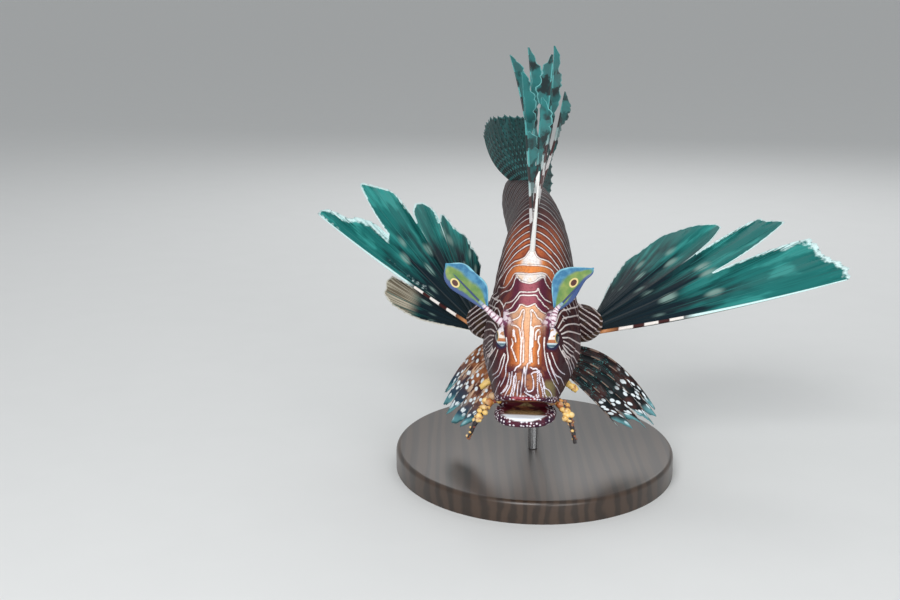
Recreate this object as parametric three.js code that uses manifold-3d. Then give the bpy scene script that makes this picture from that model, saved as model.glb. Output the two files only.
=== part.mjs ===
// A red lionfish, life size, hovering head down with its fins spread, held over a plain oval base by two rods.
// Millimetres, +Z up. The fish faces -Y and its left side is +X. The origin is the middle of the base's underside.
//
// The fish is drawn straight first, in (x, s, z): x to its left, s behind the snout, z towards the back.
// place() then bends the rear of the body to the right, and the group that holds the fish pitches it head down.
import * as THREE from "three";
import { mergeVertices } from "three/addons/utils/BufferGeometryUtils.js";
import Module from "manifold-3d";

const wasm = await Module();
wasm.setup();

// Driving sizes of the fish
const BODY_LENGTH = 225; // snout to the root of the tail fin
const BALANCE = 95; // station of the fish that stands over the base's middle
const PITCH_DEG = 24; // head down
const YAW_DEG = -7; // tail to the fish's left
const RIDE_HEIGHT = 104; // of the balance point above the floor
const GAP = 0.3; // between touching parts
const HEAD_END = 60;
const TORSO_END = 141;
const JAW_OPEN_DEG = 20;
const JAW_FORWARD = [-2.5, -0.8]; // what the opened jaw moves along and up
const DORSAL_SPINE_LENGTH = 88; // the longest

// Driving sizes of the stand
const BASE_HALF_X = 78;
const BASE_HALF_Y = 92;
const BASE_HEIGHT = 12;
const BASE_EDGE = 2.5;
const BASE_EDGE_STEPS = 3;
const ROD_RADIUS = 2.6;
const ROD_STATIONS = [86, 130];

const RAD = Math.PI / 180;

// Sections of the body: station, back, belly, half width, height of the widest point, and how square the upper half is
const SECTIONS = [
  [-2, 0.8, -7, 7.5, -3, 2.1],
  [0, 4.2, -11.5, 11, -4, 2.1],
  [3, 7, -15, 13.4, -5.5, 2.1],
  [8, 10.5, -18.5, 15.4, -7.5, 2.15],
  [14, 14.4, -21, 17, -8.5, 2.2],
  [21, 19.2, -23.4, 18.8, -9, 2.2],
  [28, 23.4, -25.3, 20.6, -9.5, 2.15],
  [36, 27.2, -27.2, 22.6, -10.5, 1.95],
  [45, 31.6, -29, 24.4, -11.5, 1.72],
  [55, 37, -30.5, 25.4, -12, 1.55],
  [66, 41.8, -31.7, 25, -11, 1.58],
  [78, 45.3, -32.4, 23.8, -8.5, 1.7],
  [95, 47.4, -32.2, 22, -4, 1.82],
  [115, 46, -30.2, 19.2, 0, 1.82],
  [135, 41.6, -26.4, 16.2, 2.8, 1.85],
  [155, 35, -20, 12.8, 4.2, 1.9],
  [175, 27, -12.8, 9.4, 5, 1.95],
  [195, 19.6, -7.4, 6.6, 5, 2],
  [212, 16, -6.2, 4.8, 4.8, 2],
  [225, 15.6, -6.6, 3.6, 4.5, 2],
];
const LOWER_SQUARENESS = 2.15;

const profile = new THREE.CubicInterpolant(
  SECTIONS.map((row) => row[0]),
  SECTIONS.flatMap((row) => row.slice(1)),
  5,
);

function section(s) {
  const [back, belly, half, wide, square] = profile.evaluate(s);
  return { back, belly, half, wide, square };
}

// A point of the skin at a station and an angle round the body: 0 is the left side and 90 degrees the back.
function skinPoint(s, angle, grow = 0) {
  const { back, belly, half, wide, square } = section(s);
  const c = Math.cos(angle);
  const n = Math.sin(angle);
  const power = 2 / (n > 0 ? square : LOWER_SQUARENESS);
  const rise = (n > 0 ? back - wide : wide - belly) + grow;
  const x = (half + grow) * Math.sign(c) * Math.abs(c) ** power;
  const z = wide + rise * Math.sign(n) * Math.abs(n) ** power;
  return new THREE.Vector3(x, s, z);
}

// Half the width of the body at a station and a height.
function halfWidthAt(s, z) {
  const { back, belly, half, wide, square } = section(s);
  const up = z > wide;
  const share = Math.min(1, Math.abs(z - wide) / (up ? back - wide : wide - belly));
  const power = up ? square : LOWER_SQUARENESS;
  return half * (1 - share ** power) ** (1 / power);
}

// Heading of the body's middle line: station, and degrees turned to the fish's right. The tail fin flicks back.
const HEADINGS = [
  [-10, 0], [40, 0], [80, 0], [100, 0], [112, 2.5], [145, 15], [162, 20.5], [178, 19.5],
  [195, 8], [210, -5], [225, -13], [250, -18], [320, -18],
];
const DROOP = 20; // of the middle line at the root of the tail fin
const DROOP_FROM = 100;
const MIDDLE_STEP = 2.5;

const heading = new THREE.CubicInterpolant(
  HEADINGS.map((row) => row[0]),
  HEADINGS.map((row) => row[1]),
  1,
);

function middleLine() {
  const line = [new THREE.Vector2(0, HEADINGS[0][0])];
  const steps = Math.floor((HEADINGS[HEADINGS.length - 1][0] - HEADINGS[0][0]) / MIDDLE_STEP);
  for (let i = 0; i < steps; i += 1) {
    const turn = heading.evaluate(HEADINGS[0][0] + (i + 0.5) * MIDDLE_STEP)[0] * RAD;
    const last = line[line.length - 1];
    line.push(new THREE.Vector2(last.x - MIDDLE_STEP * Math.sin(turn), last.y + MIDDLE_STEP * Math.cos(turn)));
  }
  return line;
}

const MIDDLE_LINE = middleLine();

// Bends a straight point (x, s, z) to its place on the fish.
function place(p) {
  const at = Math.max(0, (p.y - HEADINGS[0][0]) / MIDDLE_STEP);
  const index = Math.min(MIDDLE_LINE.length - 2, Math.floor(at));
  const middle = MIDDLE_LINE[index].clone().lerp(MIDDLE_LINE[index + 1], at - index);
  const turn = heading.evaluate(p.y)[0] * RAD;
  const sunk = DROOP * (Math.max(0, p.y - DROOP_FROM) / (BODY_LENGTH - DROOP_FROM)) ** 2;
  return new THREE.Vector3(middle.x + p.x * Math.cos(turn), middle.y + p.x * Math.sin(turn) - BALANCE, p.z - sunk);
}

// Geometry from rings of points, closed by a fan over each end ring.
function skinOverRings(rings) {
  const count = rings[0].length;
  const points = rings.flat();
  const faces = [];
  const first = points.push(middleOf(rings[0])) - 1;
  const last = points.push(middleOf(rings[rings.length - 1])) - 1;
  const end = (rings.length - 1) * count;
  for (let k = 0; k < count; k += 1) {
    const next = (k + 1) % count;
    for (let row = 0; row < rings.length - 1; row += 1) {
      const a = row * count;
      faces.push([a + k, a + next, a + count + next], [a + k, a + count + next, a + count + k]);
    }
    faces.push([first, next, k], [last, end + k, end + next]);
  }
  return meshGeometry(points, faces);
}

function middleOf(ring) {
  return ring.reduce((sum, p) => sum.add(p), new THREE.Vector3()).divideScalar(ring.length);
}

function meshGeometry(points, faces) {
  const geometry = new THREE.BufferGeometry();
  geometry.setAttribute("position", new THREE.Float32BufferAttribute(points.flatMap((p) => p.toArray()), 3));
  geometry.setIndex(faces.flat());
  return geometry;
}

function toSolid(geometry) {
  const bare = geometry.clone();
  bare.deleteAttribute("normal");
  bare.deleteAttribute("uv");
  const merged = mergeVertices(bare, 1e-3);
  const made = new wasm.Manifold(
    new wasm.Mesh({
      numProp: 3,
      vertProperties: merged.attributes.position.array,
      triVerts: new Uint32Array(merged.index.array),
    }),
  );
  return made.volume() < 0 ? flipped(merged) : made;
}

function flipped(merged) {
  const triVerts = new Uint32Array(merged.index.array);
  for (let i = 0; i < triVerts.length; i += 3) {
    [triVerts[i + 1], triVerts[i + 2]] = [triVerts[i + 2], triVerts[i + 1]];
  }
  return new wasm.Manifold(
    new wasm.Mesh({ numProp: 3, vertProperties: merged.attributes.position.array, triVerts }),
  );
}

function union(solids) {
  return solids.reduce((whole, solid) => whole.add(solid));
}

function largest(solid) {
  const pieces = solid.decompose();
  return pieces.reduce((best, piece) => (piece.volume() > best.volume() ? piece : best));
}

function geometryOf(solid) {
  const mesh = solid.getMesh();
  const points = [];
  for (let i = 0; i < mesh.numVert; i += 1) {
    points.push(new THREE.Vector3().fromArray(mesh.vertProperties, i * mesh.numProp));
  }
  const geometry = meshGeometry(points, [Array.from(mesh.triVerts)]);
  geometry.computeVertexNormals();
  return geometry;
}

// The body between two stations, grown outward by a little where a clearance is cut.
function bodyGeometry(from, to, steps, sides, grow = 0) {
  const rings = [];
  for (let i = 0; i <= steps; i += 1) {
    const s = from + ((to - from) * i) / steps;
    const ring = [];
    for (let k = 0; k < sides; k += 1) {
      ring.push(skinPoint(s, (2 * Math.PI * k) / sides, grow));
    }
    rings.push(ring);
  }
  return skinOverRings(rings);
}

// A round tube along a curve, with its radius given at each share of the length.
function tubeGeometry(points, radiusAt, sides, steps, flatten = 1) {
  const curve = new THREE.CatmullRomCurve3(points, false, "centripetal");
  const frames = curve.computeFrenetFrames(steps, false);
  const rings = [];
  for (let i = 0; i <= steps; i += 1) {
    const centre = curve.getPointAt(i / steps);
    const radius = radiusAt(i / steps);
    const ring = [];
    for (let k = 0; k < sides; k += 1) {
      const angle = (2 * Math.PI * k) / sides;
      const point = centre.clone();
      point.addScaledVector(frames.normals[i], radius * Math.cos(angle));
      point.addScaledVector(frames.binormals[i], radius * flatten * Math.sin(angle));
      ring.push(point);
    }
    rings.push(ring);
  }
  return skinOverRings(rings);
}

// A closed plate round a mid surface. The faces on both sides are split alike.
function plateGeometry(points, faces, thickness) {
  const normals = meshGeometry(points, faces);
  normals.computeVertexNormals();
  const normal = normals.getAttribute("normal");
  const count = points.length;
  const shifted = (i, sign) => {
    const n = new THREE.Vector3().fromBufferAttribute(normal, i);
    return points[i].clone().addScaledVector(n, (sign * thickness[i]) / 2);
  };
  const all = [...points.map((_, i) => shifted(i, 1)), ...points.map((_, i) => shifted(i, -1))];
  const closed = faces.flatMap(([a, b, c]) => [
    [a, b, c],
    [a + count, c + count, b + count],
  ]);
  const edges = new Set(faces.flatMap(([a, b, c]) => [`${a},${b}`, `${b},${c}`, `${c},${a}`]));
  for (const edge of edges) {
    const [a, b] = edge.split(",").map(Number);
    if (!edges.has(`${b},${a}`)) {
      closed.push([b, a, a + count], [b, a + count, b + count]);
    }
  }
  return meshGeometry(all, closed);
}

// A fin: a membrane between rays. Past the web it is cut after some of the rays, which parts it into lobes,
// and the membrane past the last ray of a lobe is a vane on that ray.
// Each ray is { base, along, curl }: it starts at base, reaches base + along + curl, and curl grows from the root.
const MEMBRANE = 0.6;

function rayPoint(ray, f) {
  return ray.base.clone().addScaledVector(ray.along, f).addScaledVector(ray.curl, f * f);
}

function finGeometry(rays, { rows, webRow, columns, isCut, vane, endOf, rayThick }) {
  const points = [];
  const thickness = [];
  const faces = [];
  const onRay = rays.map(() => []);
  const add = (where, thick) => {
    thickness.push(thick);
    return points.push(where) - 1;
  };
  const rayVertex = (i, row) => {
    if (onRay[i][row] === undefined) {
      onRay[i][row] = add(rayPoint(rays[i], rows[row]), rayThick * (1 - 0.5 * rows[row]));
    }
    return onRay[i][row];
  };
  for (let i = 0; i < rays.length - 1; i += 1) {
    const cut = isCut(i);
    const web = rows[webRow];
    const grid = rows.map((f, row) =>
      columns.map((share) => {
        if (share === 0) {
          return rayVertex(i, row);
        }
        if (share === 1 && (!cut || row <= webRow)) {
          return rayVertex(i + 1, row);
        }
        const free = Math.max(0, (f - web) / (1 - web));
        const across = cut ? share * (1 - free * (1 - vane)) : share;
        const reach = row <= webRow ? f : web + (f - web) * endOf(share, i);
        return add(rayPoint(rays[i], reach).lerp(rayPoint(rays[i + 1], reach), across), MEMBRANE);
      }),
    );
    for (let row = 0; row < rows.length - 1; row += 1) {
      for (let c = 0; c < columns.length - 1; c += 1) {
        const [a, b] = [grid[row][c], grid[row][c + 1]];
        const [d, e] = [grid[row + 1][c], grid[row + 1][c + 1]];
        faces.push([a, b, e], [a, e, d]);
      }
    }
  }
  return plateGeometry(points, faces, thickness);
}

// Shares of the way between two rays at which a membrane has points, close beside each ray, so that it stands up as a ridge
const COLUMNS = [0, 0.15, 0.85, 1];
const SHORT_ROWS = [0, 0.42, 0.84, 1];
const PELVIC_ROWS = [0, 0.25, 0.5, 0.78, 1];

function seededRandom(seed) {
  let state = seed;
  return () => {
    state = (state * 1664525 + 1013904223) % 4294967296;
    return state / 4294967296;
  };
}

const X_AXIS = new THREE.Vector3(1, 0, 0);
const Y_AXIS = new THREE.Vector3(0, 1, 0);
const Z_AXIS = new THREE.Vector3(0, 0, 1);

function point(x, s, z) {
  return new THREE.Vector3(x, s, z);
}

function mirrored(p, side) {
  return point(side * p.x, p.y, p.z);
}

// An outline in (s, z), pushed through sideways from one x to another.
function sidePrism(outline, from, to) {
  const shape = new THREE.Shape(outline.map(([s, z]) => new THREE.Vector2(s, z)));
  const geometry = new THREE.ExtrudeGeometry(shape, { depth: to - from, bevelEnabled: false });
  geometry.translate(0, 0, from);
  geometry.applyMatrix4(new THREE.Matrix4().makeBasis(Y_AXIS, Z_AXIS, X_AXIS));
  return toSolid(geometry);
}

function ball(centre, radii, around, down) {
  const geometry = new THREE.SphereGeometry(1, around, down);
  geometry.scale(radii.x, radii.y, radii.z);
  geometry.translate(centre.x, centre.y, centre.z);
  return toSolid(geometry);
}

// The three lengths of the body, with their ring counts. The same rings are used for every clearance cut on them.
const BODY_PARTS = {
  head: { from: -2, to: HEAD_END, steps: 15, sides: 26 },
  torso: { from: HEAD_END + GAP, to: TORSO_END, steps: 10, sides: 26 },
  tail: { from: TORSO_END + GAP, to: BODY_LENGTH, steps: 9, sides: 18 },
};

function bodyPart(name, grow = 0) {
  const { from, to, steps, sides } = BODY_PARTS[name];
  return toSolid(bodyGeometry(from, to, steps, sides, grow));
}

// Gill covers: plates let into the skin behind each cheek, standing a little proud of it
const GILL_COVER = [
  [45, 12], [55, 17], [66, 14], [75, 6], [77, -1], [73, -10], [64, -18], [53, -24], [46, -22],
];
const COVER_DEPTH = 2.4;
const COVER_PROUD = 0.7;

function grownOutline(outline, grow) {
  const centre = outline.reduce((sum, [s, z]) => [sum[0] + s, sum[1] + z], [0, 0]);
  const [cs, cz] = [centre[0] / outline.length, centre[1] / outline.length];
  return outline.map(([s, z]) => {
    const reach = Math.hypot(s - cs, z - cz);
    const scale = (reach + grow) / reach;
    return [cs + (s - cs) * scale, cz + (z - cz) * scale];
  });
}

function coverSolid(side, grow) {
  const column = sidePrism(grownOutline(GILL_COVER, 1.4 * grow), side > 0 ? 2 : -40, side > 0 ? 40 : -2);
  const outer = toSolid(bodyGeometry(34, 92, 10, 26, COVER_PROUD + grow));
  const inner = toSolid(bodyGeometry(34, 92, 6, 20, -COVER_DEPTH - grow));
  return column.intersect(outer).subtract(inner);
}

function coverRecess(side) {
  return coverSolid(side, GAP);
}

// Eyes, set in sockets under the brow ridges
const EYE_RADIUS = 6.4;
const EYE_CENTRE = point(9.7, 28, 16.4);
const EYE_GAZE = point(0.93, -0.27, 0.22).normalize();

function eyeBall(side, grow = 0) {
  const radius = EYE_RADIUS + grow;
  return ball(mirrored(EYE_CENTRE, side), point(radius, radius, radius), 14, 10);
}

function lidRing(side, grow = 0) {
  const gaze = mirrored(EYE_GAZE, side);
  const geometry = new THREE.TorusGeometry(EYE_RADIUS - 0.1, 1.15 + grow, 5, 14);
  geometry.applyQuaternion(new THREE.Quaternion().setFromUnitVectors(Z_AXIS, gaze));
  const centre = mirrored(EYE_CENTRE, side).addScaledVector(gaze, 1.8);
  geometry.translate(centre.x, centre.y, centre.z);
  return toSolid(geometry);
}

function browRidge(side, grow = 0) {
  const path = [point(7.8, 18, 15), point(9.2, 22, 20), point(9.9, 28, 23.2), point(10.8, 36, 24.8), point(12.5, 44, 23.5)];
  const girth = (f) => 0.8 + 1.6 * Math.sin(Math.PI * f) + grow;
  return toSolid(tubeGeometry(path.map((p) => mirrored(p, side)), girth, 6, 7));
}

// Mouth: the line runs from the front down to the corner, and the lower jaw turns about the corner
const MOUTH_FRONT = [-6, 1.6];
const MOUTH_CORNER = [14, -15];
const JAW_REAR = [25, -42];
const UPPER_LIP = { offset: 0.9, radius: 1.5 };
const LOWER_LIP = { offset: -1.5, radius: 2.1 };

function aboutCorner([s, z], degrees) {
  const turned = point(0, s - MOUTH_CORNER[0], z - MOUTH_CORNER[1]).applyAxisAngle(X_AXIS, degrees * RAD);
  return [turned.y + MOUTH_CORNER[0], turned.z + MOUTH_CORNER[1]];
}

function mouthHeight(s) {
  const share = (s - MOUTH_FRONT[0]) / (MOUTH_CORNER[0] - MOUTH_FRONT[0]);
  return THREE.MathUtils.lerp(MOUTH_FRONT[1], MOUTH_CORNER[1], share);
}

// The outline that cuts the jaw from the head. The jaw itself reaches farther back, to make up for its move forward.
function jawWedge(extra = 0) {
  const [corner, rear] = [MOUTH_CORNER, JAW_REAR].map(([s, z]) => [s + extra, z]);
  return [MOUTH_FRONT, corner, rear, [-14, -42], [-14, MOUTH_FRONT[1]]];
}

// The lip that follows the mouth line round the snout, lifted or lowered a little from that line.
function lip({ offset, radius }, grow = 0) {
  const path = [];
  for (const side of [-1, 1]) {
    const half = [14.5, 10.5, 6.5, 3, 0, -1.7].map((s) => {
      const z = mouthHeight(s) + offset;
      return point(side * (halfWidthAt(s, z) - 0.2), s, z);
    });
    path.push(...(side < 0 ? half : [point(0, -2.6, mouthHeight(-2.6) + offset), ...half.reverse()]));
  }
  return toSolid(tubeGeometry(path, (f) => radius * (0.6 + 0.4 * Math.sin(Math.PI * f)) + grow, 5, 14));
}

// The head with its ridges, lids and upper lip, before anything is cut from it.
function wholeHead(grow = 0) {
  const raised = [browRidge(-1, grow), browRidge(1, grow), lidRing(-1, grow), lidRing(1, grow), lip(UPPER_LIP, grow)];
  return union([bodyPart("head", grow), ...raised]);
}

function headSolid() {
  let solid = wholeHead();
  solid = solid.subtract(eyeBall(-1, GAP)).subtract(eyeBall(1, GAP));
  const opened = [MOUTH_FRONT, MOUTH_CORNER, aboutCorner(JAW_REAR, JAW_OPEN_DEG), [-14, -48], [-14, MOUTH_FRONT[1]]];
  const shift = ([s, z]) => [s + GAP, z + GAP * 0.7];
  solid = solid.subtract(sidePrism(opened.map(shift), -40, 40));
  solid = solid.subtract(sidePrism(jawWedge().map(shift), -40, 40));
  for (const side of [-1, 1]) {
    solid = solid.subtract(coverRecess(side));
    solid = solid.subtract(ball(point(side * 6.6, 13.5, 13.6), point(1.1, 1.1, 2), 8, 6));
  }
  return largest(solid);
}

function jawSolid(grow = 0) {
  const whole = union([toSolid(bodyGeometry(-2, 40, 10, 26, grow)), lip(LOWER_LIP, grow)]);
  const jaw = largest(whole.intersect(sidePrism(jawWedge(-JAW_FORWARD[0]), -40, 40)));
  const hinge = new THREE.Matrix4().makeTranslation(0, JAW_FORWARD[0], JAW_FORWARD[1]);
  hinge.multiply(new THREE.Matrix4().makeTranslation(0, MOUTH_CORNER[0], MOUTH_CORNER[1]));
  hinge.multiply(new THREE.Matrix4().makeRotationX(JAW_OPEN_DEG * RAD));
  hinge.multiply(new THREE.Matrix4().makeTranslation(0, -MOUTH_CORNER[0], -MOUTH_CORNER[1]));
  return jaw.transform(hinge.elements);
}

// Skin flaps of the head: a leaf over each eye, a tentacle at each mouth corner and a knob on each cheek
const STALK_ROOT = point(11.6, 31, 22);
const LEAF_THICKNESS = 1.1;
const TOWARDS_VIEWER = point(0, -0.8, 0.6);

// Where each leaf starts and ends, and its outline in its own plane: along it from the stalk, and across it inwards
const LEAVES = {
  left: {
    start: point(14.4, 35.9, 28.4),
    tip: point(33.1, 46, 47.6),
    outline: [[0, -1.2], [9.4, -3], [21, -0.9], [26.8, -1], [28.5, 0.4], [20.3, 9.8], [15.2, 12.5], [8.6, 10.7], [0, 2]],
  },
  right: {
    start: point(-21.5, 36.2, 28.1),
    tip: point(-43.1, 46.5, 47.4),
    outline: [[0, -1.4], [10.3, -3.9], [21.2, -6.1], [27, -4], [30.5, 0.9], [24.8, 7.2], [16, 8.6], [8, 8.4], [0, 1.6]],
  },
};

function browTentacle(side) {
  const { start, tip, outline } = side > 0 ? LEAVES.left : LEAVES.right;
  const root = mirrored(STALK_ROOT, side);
  const knee = root.clone().lerp(start, 0.5).add(point(0, -1, 0));
  const along = tip.clone().sub(start).normalize();
  const into = start.clone().addScaledVector(along, 4);
  const stalk = toSolid(tubeGeometry([root, knee, start, into], (f) => 1.5 - 0.5 * f, 6, 6));
  const facing = TOWARDS_VIEWER.clone().addScaledVector(along, -along.dot(TOWARDS_VIEWER)).normalize();
  const across = facing.clone().cross(along).multiplyScalar(side);
  const shape = new THREE.Shape();
  shape.setFromPoints(new THREE.SplineCurve(closedLoop(outline)).getPoints(18).slice(0, -1));
  const leaf = new THREE.ExtrudeGeometry(shape, { depth: LEAF_THICKNESS, bevelEnabled: false });
  leaf.translate(0, 0, -LEAF_THICKNESS / 2);
  leaf.applyMatrix4(new THREE.Matrix4().makeBasis(along, across, facing).setPosition(start));
  const midrib = [start, start.clone().lerp(tip, 0.5), start.clone().lerp(tip, 0.92)];
  const pieces = [stalk, toSolid(leaf), toSolid(tubeGeometry(midrib, (f) => 1 - 0.7 * f, 5, 3))];
  return largest(union(pieces).subtract(wholeHead(GAP)).subtract(eyeBall(side, GAP)));
}

function closedLoop(outline) {
  const points = outline.map(([u, v]) => new THREE.Vector2(u, v));
  return [...points, points[0].clone()];
}

const SIDE_NAMES = new Map([[1, "left"], [-1, "right"]]);
const DOWN = point(0, -Math.sin(PITCH_DEG * RAD), -Math.cos(PITCH_DEG * RAD));

// A tentacle at a mouth corner: a tapering stalk that hangs down, with ragged lobes near its root.
function mouthTentacle(side) {
  const random = seededRandom(side > 0 ? 11 : 29);
  const root = point(14.5, 12.5, -11);
  const knee = point(19.5, 9, -13.5);
  const tip = knee.clone().addScaledVector(DOWN, 18).add(point(side > 0 ? 6 : 10, -1, 0));
  const middle = knee.clone().lerp(tip, 0.5).add(point(1.2, -0.6, 0));
  const path = [root, knee, middle, tip].map((p) => mirrored(p, side));
  const pieces = [toSolid(tubeGeometry(path, (f) => 1.9 - 1.1 * f, 6, 7))];
  const curve = new THREE.CatmullRomCurve3(path, false, "centripetal");
  const lobes = 5;
  for (let i = 0; i < lobes; i += 1) {
    const foot = curve.getPointAt(0.22 + (0.5 * i) / lobes);
    const angle = 2.4 * i + random();
    const out = point(Math.cos(angle) * 0.9 + 0.35 * side, Math.sin(angle) * 0.8 - 0.3, -0.35).normalize();
    const reach = 3.6 + 1.6 * random();
    const lobe = [foot, foot.clone().addScaledVector(out, reach * 0.6), foot.clone().addScaledVector(out, reach)];
    pieces.push(toSolid(tubeGeometry(lobe, (f) => 1.1 - 0.5 * f, 4, 2, 0.7)));
  }
  return largest(union(pieces).subtract(wholeHead(GAP)).subtract(jawSolid(GAP)));
}

// A short fleshy knob that hangs from the lower edge of a cheek.
function cheekFlap(side) {
  const path = [point(16, 33, -15), point(21, 31.5, -17), point(25.4, 30, -20)].map((p) => mirrored(p, side));
  const girth = (f) => 1.1 + 1.5 * f * Math.sqrt(Math.max(0, 1.02 - f));
  return largest(toSolid(tubeGeometry(path, girth, 6, 6)).subtract(wholeHead(GAP)));
}

// Directions of the rays: a compass angle seen by someone facing the fish, who looks down on it a little,
// and how far the ray leans away from that person.
const FACING_DEG = 37;
const UP_SEEN = point(0, Math.sin(FACING_DEG * RAD), Math.cos(FACING_DEG * RAD));
const AWAY_SEEN = point(0, Math.cos(FACING_DEG * RAD), -Math.sin(FACING_DEG * RAD));

function seenDirection(side, rise, away) {
  const across = Math.cos(away * RAD) * Math.cos(rise * RAD);
  return point(side * across, 0, 0)
    .addScaledVector(UP_SEEN, Math.cos(away * RAD) * Math.sin(rise * RAD))
    .addScaledVector(AWAY_SEEN, Math.sin(away * RAD));
}

// Pectoral fins: a fleshy base behind each gill cover, and a long fan cut into broad lobes
const PECTORAL_BASE = point(25, 78, -12.5);
const PECTORAL_BASE_RADII = point(12.5, 9, 11.5);
const PECTORAL_ROOT = point(33, 78, -13);
const PECTORAL_ROOT_SPREAD = 11;
const PECTORAL_CURL = 0.06;
const PECTORAL_ROWS = [0, 0.3, 0.55, 0.78, 0.92, 1];

// The outline of each fan, as rays from its root: rise, lean away, and length. It drops at the notches between lobes.
const PECTORAL_FANS = {
  left: [
    [16, 62, 50], [14, 44, 68], [12, 22, 100],
    [13.7, 0, 139], [14.4, 1, 141], [16.6, 3, 141], [18.6, 5, 136], [20.7, 8, 133], [23, 10, 134], [24.7, 12, 132],
    [25.1, 13, 127], [25.3, 13, 120], [25.5, 13, 113], [25.7, 13, 104], [25.9, 13, 92], [26.1, 13, 73],
    [26.9, 14, 89], [28.3, 15, 107], [30, 17, 126], [31, 19, 127], [32.3, 21, 123], [34.2, 25, 123],
    [34.7, 25, 116], [34.9, 25, 106], [35.1, 25, 94], [35.3, 25, 75],
    [36.2, 27, 89], [38, 33, 107], [39.8, 36, 110], [42.2, 37, 106], [44.7, 39, 103], [48, 43, 97],
    [52, 49, 96], [55.3, 53, 87], [58.1, 56, 78], [62.9, 62, 76], [65, 65, 59], [67, 68, 44],
  ],
  right: [
    [8, 37, 44], [11, 39, 61], [13, 40, 73], [16.8, 40, 82], [22.3, 40, 84], [27.3, 40, 82], [28.4, 36, 59], [29.8, 32, 44],
    [31.7, 29, 141], [32.8, 29, 142], [34.2, 30, 139], [35, 30, 132], [35.8, 30, 121], [38.5, 31, 115],
    [40, 31, 108], [40.6, 31, 100], [41, 31, 88],
    [42.7, 31, 106], [44.4, 30, 119], [45.4, 30, 129], [46.4, 30, 130], [48.3, 31, 124],
    [51.1, 33, 119], [52.4, 35, 114], [52.8, 35, 105], [53, 35, 97], [53.3, 34, 82],
    [54.3, 36, 94], [56.2, 38, 101], [58.8, 41, 104], [61.1, 42, 100], [62.3, 43, 95], [62.8, 43, 84],
    [64, 44, 91], [65.1, 46, 93], [66.4, 47, 89], [68.6, 49, 82], [71.5, 51, 79], [75.2, 54, 77],
    [77.3, 55, 68], [81.1, 57, 63], [85.9, 62, 53],
  ],
};

function pectoralBase(side, grow = 0) {
  const radii = PECTORAL_BASE_RADII.clone().addScalar(grow);
  return ball(mirrored(PECTORAL_BASE, side), radii, 14, 10);
}

function pectoralRays(side) {
  const fan = PECTORAL_FANS[SIDE_NAMES.get(side)];
  return fan.map(([rise, away, length], i) => {
    const share = i / (fan.length - 1) - 0.5;
    const foot = mirrored(PECTORAL_ROOT, side).addScaledVector(UP_SEEN, PECTORAL_ROOT_SPREAD * share);
    const along = seenDirection(side, rise, away).multiplyScalar(length);
    const curl = UP_SEEN.clone().multiplyScalar(PECTORAL_CURL * length);
    return { base: foot, along: along.addScaledVector(curl, -1), curl };
  });
}

// What a fin of the sides is kept clear of.
function besideFin(side) {
  return union([bodyPart("torso", GAP), coverSolid(side, 2 * GAP)]);
}

function pectoralFin(side) {
  const fin = finGeometry(pectoralRays(side), {
    rows: PECTORAL_ROWS, webRow: 5, columns: [0, 1], isCut: () => false, vane: 1, endOf: () => 1, rayThick: 1.3,
  });
  return largest(toSolid(fin).subtract(pectoralBase(side, GAP)).subtract(besideFin(side)));
}

// Pelvic fins: a spine and five rays each, that arch out and down from the belly.
// The first and last ray of each, as sideways, up and away, first straight and then as they curl.
const PELVIC_ROOT = point(9, 69, -27);
const PELVIC_FANS = {
  left: { along: [[60, 24, 8], [37, -29, 2]], curl: [[-2, -54, 4], [0, -6, 4]] },
  right: { along: [[38, 34, 10], [24, -34, 8]], curl: [[4, -60, 6], [0, -5, 4]] },
};
const PELVIC_RAYS = 6;

function seenVector(side, [across, up, away]) {
  return point(side * across, 0, 0).addScaledVector(UP_SEEN, up).addScaledVector(AWAY_SEEN, away);
}

function pelvicFin(side) {
  const fan = PELVIC_FANS[SIDE_NAMES.get(side)];
  const rays = [];
  for (let i = 0; i < PELVIC_RAYS; i += 1) {
    const f = i / (PELVIC_RAYS - 1);
    const bulge = 1 + 0.16 * Math.sin(Math.PI * f);
    const mix = ([first, last]) => seenVector(side, first).lerp(seenVector(side, last), f).multiplyScalar(bulge);
    const foot = mirrored(PELVIC_ROOT, side).add(point(side * 1.5 * f, 2 - 9 * f, 0));
    rays.push({ base: foot, along: mix(fan.along), curl: mix(fan.curl) });
  }
  const endOf = (share) => (share === 0 ? 1 : 0.9);
  const fin = finGeometry(rays, {
    rows: PELVIC_ROWS, webRow: 3, columns: COLUMNS, isCut: () => true, vane: 0.8, endOf, rayThick: 1.6,
  });
  return largest(toSolid(fin).subtract(besideFin(side)));
}

// Spiny dorsal fin: thirteen long spines, each with a vane along its rear edge, joined by a low web
const SPINE_COUNT = 13;
const SPINE_STATIONS = [68, 136];
const SPINE_LEAN = [2, 54];
const WEB_HEIGHT = 11;
const SPINE_ROWS = [0, 0.3, 0.6, 0.8, 0.93, 1];
const VANE_SHARE = [0, 0.36, 0.62, 1, 0.72, 0.12];
const VANE_WIDTH = 9;
const VANE_TURN_DEG = 50; // of each vane, from the rear to one side
const SPINE_SIDEWAYS = [5, -2, 3, -4.5, 6.2, -1.2, 9, -5, 13, 1, 24, 15, 26]; // degrees to the fish's left
const LONGEST_SPINE = 5;
const FALL_AHEAD = 7.1; // spines from the longest at which the length would be nothing, ahead of it and behind it
const FALL_BEHIND = 9.8;

function spineLength(i) {
  const fall = (i - LONGEST_SPINE) / (i < LONGEST_SPINE ? FALL_AHEAD : FALL_BEHIND);
  return DORSAL_SPINE_LENGTH * (1 - fall * fall);
}

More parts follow.
